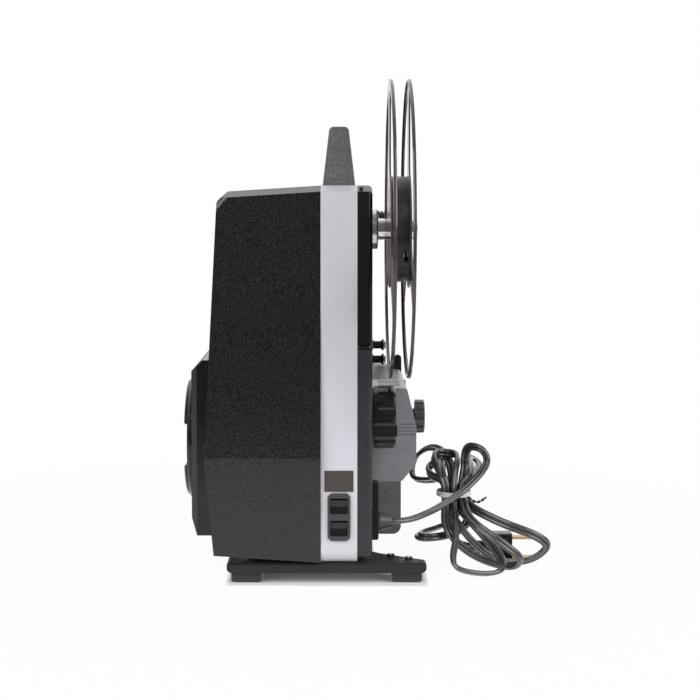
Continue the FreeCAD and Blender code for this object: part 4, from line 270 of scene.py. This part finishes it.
gloss_black = new_material("gloss_black", (0.007, 0.007, 0.0075), 0.16)
space = object_space(gloss_black)
vary_roughness(gloss_black, noise(gloss_black, space, 160), 0.1, 0.24)
bump(gloss_black, noise(gloss_black, space, 400), 0.05, 0.0001)
paint(gloss_black, "control_knob", "focus_knob", "gate_lever", "guide_roller_one",
      "guide_roller_two", "lower_rocker", "upper_rocker", "power_plug", "lens_barrel",
      "base_screws")


# Motor cover: a moulded shell over the motor and its fan, painted in a black crackle finish
# whose grains are about a millimetre and a half across. Held to the chassis band.

grain_black = new_material("grain_black", (0.0078, 0.0067, 0.0081), 0.25)
principled(grain_black).inputs["IOR"].default_value = 1.56
space = object_space(grain_black)
grain = noise(grain_black, space, 680, 3.0, 0.6)
tint(grain_black, noise(grain_black, space, 900, 2.0), 0.9)
vary_roughness(grain_black, grain, 0.16, 0.29)
bump(grain_black, grain, 0.9, 0.0002)
paint(grain_black, "motor_cover")


# Fan cowl and vent grille: smooth glossy black mouldings on the motor cover's side. The fan
# draws its air through the grille's two fields of louvres.

cowl_black = new_material("cowl_black", (0.004, 0.004, 0.0043), 0.2)
space = object_space(cowl_black)
vary_roughness(cowl_black, noise(cowl_black, space, 60), 0.15, 0.26)
bump(cowl_black, noise(cowl_black, space, 700), 0.1, 0.0002)
paint(cowl_black, "fan_cowl", "vent_grille")


# Side panels: two shallow casings that close the operator's side and meet at a seam, gloss
# black above it and fine matt grey below it. The switches' case is moulded in the same grey.

panel_black = new_material("panel_black", (0.007, 0.0065, 0.007), 0.16)
space = object_space(panel_black)
vary_roughness(panel_black, noise(panel_black, space, 35), 0.12, 0.24)
bump(panel_black, noise(panel_black, space, 300), 0.04, 0.0001)
paint(panel_black, "upper_side_panel")

panel_grey = new_material("panel_grey", (0.019, 0.017, 0.019), 0.34)
space = object_space(panel_grey)
tint(panel_grey, noise(panel_grey, space, 500, 2.0), 0.2)
vary_roughness(panel_grey, noise(panel_grey, space, 400), 0.28, 0.42)
bump(panel_grey, noise(panel_grey, space, 1000), 0.25, 0.0003)
paint(panel_grey, "lower_side_panel", "switch_case")


# Seam shade strip: a thin gloss black strip standing a little proud under the side panels' joint,
# and bent round their rear corner. Its black is painted shade, put in for the shaded rebate at the
# joint, while its eased edges catch real light. It is folded from a sheet and then given its
# thickness.

def pick(piece, kind, test):
    """In edit mode, selects the faces or the edges that pass a test."""
    bpy.ops.mesh.select_mode(type=kind)
    bpy.ops.mesh.select_all(action="DESELECT")
    shape = bmesh.from_edit_mesh(piece.data)
    for item in shape.faces if kind == "FACE" else shape.edges:
        if test(item):
            item.select_set(True)
    bmesh.update_edit_mesh(piece.data)


def finish_with(piece, kind, **settings):
    """Adds one modifier to a piece and applies it."""
    modifier = piece.modifiers.new(kind.title(), kind)
    for name, value in settings.items():
        setattr(modifier, name, value)
    bpy.ops.object.modifier_apply(modifier=modifier.name)


shade_strip_start, shade_strip_end = at(10.95, -0.3, 138.6), at(19.8, 226, 142.1)
shade_strip_middle = (shade_strip_start + shade_strip_end) / 2
shade_strip_corner, shade_strip_sheet, shade_strip_edge = 0.00275, 0.0008, 0.00035
bpy.ops.object.select_all(action="DESELECT")
bpy.ops.mesh.primitive_cube_add(size=1, location=shade_strip_middle, scale=shade_strip_end - shade_strip_start)
seam_shade_strip = bpy.context.object
seam_shade_strip.name = "seam_shade_strip"
bpy.ops.object.transform_apply(location=True, rotation=True, scale=True)
bpy.ops.object.mode_set(mode="EDIT")
pick(seam_shade_strip, "FACE", lambda face: face.normal.x < 0.5 and face.normal.y > -0.5)
bpy.ops.mesh.delete(type="FACE")
pick(seam_shade_strip, "EDGE", lambda edge: len(edge.link_faces) == 2)
bpy.ops.mesh.bevel(offset=shade_strip_corner, segments=8, affect="EDGES")
bpy.ops.object.mode_set(mode="OBJECT")
finish_with(seam_shade_strip, "SOLIDIFY", thickness=shade_strip_sheet, offset=-1)
finish_with(seam_shade_strip, "BEVEL", width=shade_strip_edge, segments=2)
bpy.ops.object.shade_smooth_by_angle(angle=math.radians(40))
# The strip's gloss black is painted shade for the shaded rebate at the panels' joint.
seam_shade_strip.data.materials.append(gloss_black)
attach(seam_shade_strip, "machine")


# Panel screw: a small black screw with a recessed head, which holds the upper side panel by
# its rear top slope. A turned disc, its head inset and pressed in, its rim eased.

slope_drop, slope_depth = 3.6, 13
head_radius, head_depth = 0.00115, 0.0018
head_rim, head_recess, head_edge = 0.00045, 0.0004, 0.00025
bpy.ops.object.select_all(action="DESELECT")
bpy.ops.mesh.primitive_cylinder_add(vertices=24, radius=head_radius, depth=head_depth,
                                    location=at(13, 5.12, 234.13))
panel_screw = bpy.context.object
panel_screw.name = "panel_screw"
bpy.ops.object.mode_set(mode="EDIT")
pick(panel_screw, "FACE", lambda face: face.normal.z > 0.9)
bpy.ops.mesh.inset(thickness=head_rim)
bpy.ops.mesh.extrude_region_move(TRANSFORM_OT_translate={"value": (0, 0, -head_recess)})
pick(panel_screw, "EDGE", lambda edge: all(
    end.co.z > 0.9 * head_depth / 2 and end.co.xy.length > 0.9 * head_radius for end in edge.verts))
bpy.ops.mesh.bevel(offset=head_edge, segments=2, affect="EDGES")
bpy.ops.object.mode_set(mode="OBJECT")
panel_screw.rotation_euler = (math.atan2(slope_drop, slope_depth), 0, 0)
bpy.ops.object.transform_apply(location=True, rotation=True, scale=True)
bpy.ops.object.shade_smooth_by_angle(angle=math.radians(40))
panel_screw.data.materials.append(gloss_black)
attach(panel_screw, "machine")


# Spindle flanges: turned discs of satin silver metal, screwed to the side panel round each
# reel spindle.

satin_silver = new_material("satin_silver", (0.74, 0.75, 0.73), 0.24, 0.9)
space = object_space(satin_silver, (0.2, 1, 1))
vary_roughness(satin_silver, noise(satin_silver, space, 1500), 0.18, 0.3)
paint(satin_silver, "spindle_flanges")


# Switch escutcheon: a satin dark grey moulding round the two rockers, let into the band's
# rear face.

escutcheon_grey = new_material("escutcheon_grey", (0.044, 0.040, 0.043), 0.28)
space = object_space(escutcheon_grey)
vary_roughness(escutcheon_grey, noise(escutcheon_grey, space, 250), 0.24, 0.34)
paint(escutcheon_grey, "switch_escutcheon")


# Label plate: a bare dark brown plate over the switches, glued to the band's rear face.
# Its face is faintly speckled.

label = new_material("label_brown", (0.050, 0.040, 0.036), 0.35)
space = object_space(label)
tint(label, noise(label, space, 700), 0.2)
vary_roughness(label, noise(label, space, 500), 0.28, 0.45)
paint(label, "label_plate")


# Carry handle: a dark grey moulding with a coarse grain, which stands on the band's top by
# its two feet.

handle_grey = new_material("handle_grey", (0.085, 0.08, 0.085), 0.5)
space = object_space(handle_grey)
tint(handle_grey, noise(handle_grey, space, 800, 2.0), 0.35)
bump(handle_grey, noise(handle_grey, space, 800), 0.6, 0.0006)
paint(handle_grey, "carry_handle")


# Take-up reel: two thin spoked flanges in dark brown lacquer, held on a satin black moulded
# hub that the spindle's keys drive.

hub_black = new_material("hub_black", (0.016, 0.016, 0.0155), 0.26)
space = object_space(hub_black)
vary_roughness(hub_black, noise(hub_black, space, 160), 0.2, 0.32)
paint(hub_black, "reel_hub")

rim = new_material("reel_rim", (0.075, 0.056, 0.053), 0.14, 0.3)
space = object_space(rim)
tint(rim, noise(rim, space, 60), 0.15)
vary_roughness(rim, noise(rim, space, 200), 0.1, 0.18)
paint(rim, "reel_inner_flange", "reel_outer_flange")


# Cord inlet and strain relief: a dull black strip on the side panel, and the grey tapered
# sleeve that holds the cord where it leaves the machine.

relief_black = new_material("relief_black", (0.008, 0.0075, 0.009), 0.24)
principled(relief_black).inputs["Specular IOR Level"].default_value = 0.15
space = object_space(relief_black)
vary_roughness(relief_black, noise(relief_black, space, 200), 0.2, 0.3)
paint(relief_black, "cord_inlet_strip")

relief_grey = new_material("relief_grey", (0.045, 0.043, 0.048), 0.36)
space = object_space(relief_grey)
vary_roughness(relief_grey, noise(relief_grey, space, 200), 0.32, 0.42)
paint(relief_grey, "strain_relief")


# Power cord: a flat twin flex of soft black plastic, folded into a hank with loops up and down
# from a twist tie. Its spline runs from the strain relief through the loops to the plug.

CORD_TIE = Vector((72, 60, 44))
SLOT_PITCH = 5.3
FIRST_SLOT = Vector((1.2, -2.2, 0))
TIE_REACH = Vector((0, 0, 6.5))
LEAD = [
    (31.65, 16, 35.2), (37, 16, 35.2), (45.7, 21, 35.6), (58.4, 31, 39), (69.5, 40, 43.7),
    (77.5, 47, 48),
]
TAIL = [(70, 70, 26), (73, 64, 12), (80, 58, 9.8), (86, 58, 9.8)]
# How far along a loop each of its points stands, and how far aside.
LOOP_SHARES = ((0.35, 0.6), (0.72, 1.0), (0.97, 0.6), (0.97, -0.6), (0.72, -1.0), (0.35, -0.6))
# Each loop: up or down from the tie, its place in the tie, then its tip, half spread and bow.
LOOPS = [
    (1, (1, 0), (85.5, 57.2, 73.9), (6.7, -4.1, -1.3), (3.7, 4.3, -1.2)),
    (-1, (-1, 0), (126.2, 45, 8), (10.3, -3.5, 9.1), (-2, -10.9, -4.2)),
    (1, (0, -1), (70, 81.5, 65.5), (-7.3, 1.7, 0.4), (-2.6, -2, 4.5)),
    (-1, (0, 0), (80.9, 12.8, 4.1), (-16.9, -1.6, 2.6), (7.8, -5.7, -6.6)),
    (1, (0, 1), (47.5, 123, 48.5), (2, -1.5, 12.5), (6, -0.5, 7)),
    (-1, (1, 1), (47.1, 52.3, 17.6), (-2.2, 10.9, 0.2), (16.8, 9.4, -5.2)),
    (1, (1, -1), (85, 95.8, 60.6), (4, 8.5, -1.6), (6, -7, -0.1)),
    (-1, (-1, -1), (111.4, 27.9, 4.7), (6.8, -8.1, 6.1), (-14.3, -8.3, 2)),
    (1, (-1, 1), (64, 86.7, 60), (4.2, -6.6, 3.9), (-5, -3.8, 0.7)),
]
route = [Vector(point) for point in LEAD]
slot_in = CORD_TIE + FIRST_SLOT * SLOT_PITCH
for side, slot, tip, spread, bow in LOOPS:
    slot_out = CORD_TIE + Vector((*slot, 0)) * SLOT_PITCH
    for number, (along, aside) in enumerate(LOOP_SHARES):
        root = (slot_in if number < 3 else slot_out) + TIE_REACH * side
        route.append(root + (Vector(tip) - root) * along + Vector(spread) * aside
                     + Vector(bow) * (4 * along * (1 - along)))
    route.append(slot_out + TIE_REACH * side)
    route.append(slot_out - TIE_REACH * side)
    slot_in = slot_out
route += [Vector(point) for point in TAIL]

flex_profile = bpy.data.curves.new("flex_profile", "CURVE")
flex_profile.dimensions = "2D"
profile_line = flex_profile.splines.new("NURBS")
# The section in millimetres and degrees: two round lobes, their middles half a pitch from its
# own, with a groove between them on either side.
half_pitch, lobe, groove = 1.42, 1.5, 0.2
points_per_lobe, sweep = 11, 270
outline = []
for side in (1, -1):
    for step in range(points_per_lobe):
        turn = sweep * (step / (points_per_lobe - 1) - 0.5) + (0 if side > 0 else 180)
        angle = math.radians(turn)
        outline.append((side * half_pitch + lobe * math.cos(angle), lobe * math.sin(angle)))
    outline.append((0, side * groove))
profile_line.points.add(len(outline) - 1)
for point, (x, y) in zip(profile_line.points, outline):
    point.co = (x / 1000, y / 1000, 0, 1)
profile_line.order_u = 3
profile_line.resolution_u = 6
profile_line.use_cyclic_u = True
profile_piece = bpy.data.objects.new("flex_profile", flex_profile)
profile_piece.hide_render = True
bpy.context.collection.objects.link(profile_piece)

cord_curve = bpy.data.curves.new("power_cord", "CURVE")
cord_curve.dimensions = "3D"
line = cord_curve.splines.new("NURBS")
line.points.add(len(route) - 1)
for point, place in zip(line.points, route):
    point.co = (*(ORIGIN + place / 1000), 1)
line.order_u = 3
line.use_endpoint_u = True
line.resolution_u = 6
cord_curve.bevel_mode = "OBJECT"
cord_curve.bevel_object = profile_piece
cord_curve.use_fill_caps = True
cord_curve.twist_mode = "MINIMUM"
power_cord = bpy.data.objects.new("power_cord", cord_curve)
bpy.context.collection.objects.link(power_cord)

cord_black = new_material("cord_black", (0.034, 0.032, 0.036), 0.3)
principled(cord_black).inputs["IOR"].default_value = 1.6
principled(cord_black).inputs["Coat Weight"].default_value = 1.0
principled(cord_black).inputs["Coat Roughness"].default_value = 0.05
space = object_space(cord_black)
vary_roughness(cord_black, noise(cord_black, space, 120), 0.26, 0.36)
tint(cord_black, noise(cord_black, space, 60), 0.25)
cord_curve.materials.append(cord_black)
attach(power_cord, "machine")
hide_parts("power_cord_lead", "power_cord_hank")


# Plug blades: brass, a little tarnished in patches, moulded into the plug.
# Their ends are chamfered.

brass = new_material("brass", (0.55, 0.36, 0.14), 0.25, 1.0)
space = object_space(brass)
tint(brass, noise(brass, space, 250), 0.25)
vary_roughness(brass, noise(brass, space, 500), 0.18, 0.36)
paint(brass, "plug_blades")


# Twist tie: a pale plastic band round the hank's waist, with a fine ribbed face.
# It holds the cord's loops together.

tie_pale = new_material("tie_pale", (0.78, 0.76, 0.76), 0.3)
space = object_space(tie_pale)
tint(tie_pale, noise(tie_pale, space, 400), 0.15)
bump(tie_pale, noise(tie_pale, space, 900), 0.3, 0.0003)
paint(tie_pale, "twist_tie")


# Tie end: the ends of the band's flat wire, twisted together under it and bent out to the
# right. An oval section turned along a short curve.

tie_dark = new_material("tie_dark", (0.035, 0.022, 0.018), 0.4)
space = object_space(tie_dark)
tint(tie_dark, noise(tie_dark, space, 700), 0.4)
wire_radius, wire_flatness, turn_each = 0.0009, 0.5, 4.5
tie_route = ((80.5, 53.5, 42.5), (84, 51, 39.5), (88, 50, 40), (91.5, 50, 43))
bpy.ops.object.select_all(action="DESELECT")
bpy.ops.curve.primitive_nurbs_circle_add(radius=wire_radius)
wire_section = bpy.context.object
wire_section.scale = (1, wire_flatness, 1)
bpy.ops.object.transform_apply(location=True, rotation=True, scale=True)
tie_wire = bpy.data.curves.new("tie_end", "CURVE")
tie_wire.dimensions = "3D"
tie_line = tie_wire.splines.new("NURBS")
tie_line.points.add(len(tie_route) - 1)
for number, (point, place) in enumerate(zip(tie_line.points, tie_route)):
    point.co = (*at(*place), 1)
    point.tilt = turn_each * number
tie_line.order_u = 3
tie_line.use_endpoint_u = True
tie_line.resolution_u = 16
tie_wire.bevel_mode = "OBJECT"
tie_wire.bevel_object = wire_section
tie_wire.use_fill_caps = True
tie_end = bpy.data.objects.new("tie_end", tie_wire)
bpy.context.collection.objects.link(tie_end)
bpy.ops.object.select_all(action="DESELECT")
tie_end.select_set(True)
bpy.context.view_layer.objects.active = tie_end
bpy.ops.object.convert(target="MESH")
tie_end = bpy.context.object
bpy.data.objects.remove(wire_section)
tie_end.data.materials.clear()
tie_end.data.materials.append(tie_dark)
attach(tie_end, "machine")


# Floor: pale, and seen as white but for the shadow. It ends a little way behind the machine, as
# a table does, and metal sees it white near the machine.

def maths(made, kind, first, second):
    """One maths step on two values."""
    step = node(made, "ShaderNodeMath")
    step.operation = kind
    for socket, value in zip(step.inputs, (first, second)):
        if isinstance(value, (int, float)):
            socket.default_value = value
        else:
            link(made, value, socket)
    return step.outputs[0]


def fade(made, value, start, end, low, high):
    """Runs from low to high as a value goes from start to end."""
    step = node(made, "ShaderNodeMapRange")
    for name, number in (("From Min", start), ("From Max", end), ("To Min", low), ("To Max", high)):
        step.inputs[name].default_value = number
    link(made, value, step.inputs["Value"])
    return step.outputs[0]


# The share of pure white that the camera sees, beside the machine and under its base, and the
# distances over which the white grows for the camera and fades for metal.
white_beside, white_under = 0.95, 0.05
camera_near, camera_far, metal_near, metal_far = 0.2, 0.42, 0.4, 0.7
floor_white = new_material("floor_white", (0.85, 0.85, 0.85), 0.8)
path = node(floor_white, "ShaderNodeLightPath")
away = node(floor_white, "ShaderNodeVectorMath")
away.operation = "LENGTH"
link(floor_white, object_space(floor_white), away.inputs[0])
to_camera = fade(floor_white, away.outputs["Value"], camera_near, camera_far, white_beside, 1.0)
axes = node(floor_white, "ShaderNodeSeparateXYZ")
link(floor_white, object_space(floor_white), axes.inputs[0])


def clear_of(middle, half_width, half_length):
    """Low on the floor under one rectangle of the base, and 1 beside it."""
    beside = maths(floor_white, "SUBTRACT", axes.outputs["X"], middle.x)
    beside = maths(floor_white, "ABSOLUTE", beside, 0.0)
    along = maths(floor_white, "SUBTRACT", axes.outputs["Y"], middle.y)
    along = maths(floor_white, "ABSOLUTE", along, 0.0)
    return maths(floor_white, "MAXIMUM",
                 fade(floor_white, beside, half_width, half_width + 0.003, white_under, 1.0),
                 fade(floor_white, along, half_length, half_length + 0.002, white_under, 1.0))


under_body = clear_of(at(-22.5, 118, 0), 0.0425, 0.1165)
under_outrigger = clear_of(at(14.3, 27, 0), 0.0365, 0.027)
under_base = maths(floor_white, "MINIMUM", under_body, under_outrigger)
to_camera = maths(floor_white, "MULTIPLY", to_camera, under_base)
to_metal = fade(floor_white, away.outputs["Value"], metal_near, metal_far, 1.0, 0.0)
bounced = maths(floor_white, "MAXIMUM", path.outputs["Is Glossy Ray"],
                path.outputs["Is Transmission Ray"])
share = maths(floor_white, "MAXIMUM",
              maths(floor_white, "MULTIPLY", path.outputs["Is Camera Ray"], to_camera),
              maths(floor_white, "MULTIPLY", bounced, to_metal))
glow = node(floor_white, "ShaderNodeEmission", Strength=1.0)
glow.inputs["Color"].default_value = (1, 1, 1, 1)
mix = node(floor_white, "ShaderNodeMixShader")
link(floor_white, share, mix.inputs[0])
link(floor_white, principled(floor_white).outputs[0], mix.inputs[1])
link(floor_white, glow.outputs[0], mix.inputs[2])
link(floor_white, mix.outputs[0], floor_white.node_tree.nodes["Material Output"].inputs["Surface"])
table_edge, reach = -0.46, 20
floor_mesh = bpy.data.meshes.new("floor")
corners = [(-reach, table_edge, 0), (reach, table_edge, 0), (reach, reach, 0), (-reach, reach, 0)]
floor_mesh.from_pydata(corners, [], [(0, 1, 2, 3)])
floor_mesh.materials.append(floor_white)
floor = bpy.data.objects.new("floor", floor_mesh)
bpy.context.collection.objects.link(floor)


# World: a white backdrop for the camera, and ahead of the machine for metal and glass. Dim
# light comes from behind the camera.

world = bpy.data.worlds.new("studio")
world.use_nodes = True
bpy.context.scene.world = world
dim = world.node_tree.nodes["Background"]
dim.inputs["Color"].default_value = (0.14, 0.138, 0.142, 1)
white = node(world, "ShaderNodeBackground")
white.inputs["Color"].default_value = (1, 1, 1, 1)
path = node(world, "ShaderNodeLightPath")
axes = node(world, "ShaderNodeSeparateXYZ")
link(world, node(world, "ShaderNodeTexCoord").outputs["Generated"], axes.inputs[0])
ahead = fade(world, axes.outputs["Y"], 0.0, 0.45, 0.0, 1.0)
bounced = maths(world, "MAXIMUM", path.outputs["Is Glossy Ray"],
                path.outputs["Is Transmission Ray"])
seen = maths(world, "MAXIMUM", path.outputs["Is Camera Ray"],
             maths(world, "MULTIPLY", bounced, ahead))
mix = node(world, "ShaderNodeMixShader")
link(world, seen, mix.inputs[0])
link(world, dim.outputs[0], mix.inputs[1])
link(world, white.outputs[0], mix.inputs[2])
link(world, mix.outputs[0], world.node_tree.nodes["World Output"].inputs["Surface"])


# Lamps: a wide weak one overhead, and two soft ones behind the camera, to its sides, which
# light the rear and both flanks evenly.

def area_lamp(name, place, target, size, power):
    """A rectangular lamp that faces a place."""
    data = bpy.data.lights.new(name, "AREA")
    data.shape = "RECTANGLE"
    data.size, data.size_y = size
    data.energy = power
    lamp = bpy.data.objects.new(name, data)
    lamp.location = place
    lamp.rotation_euler = (Vector(target) - Vector(place)).to_track_quat("-Z", "Y").to_euler()
    bpy.context.collection.objects.link(lamp)


area_lamp("top_lamp", (0.0, 0.3, 1.8), (0, 0, 0.1), (2.4, 2.4), 4)
area_lamp("right_lamp", (1.3, -1.3, 1.1), (0, 0, 0.15), (1.8, 1.8), 37)
area_lamp("left_lamp", (-1.3, -1.3, 1.1), (0, 0, 0.15), (1.8, 1.8), 37)
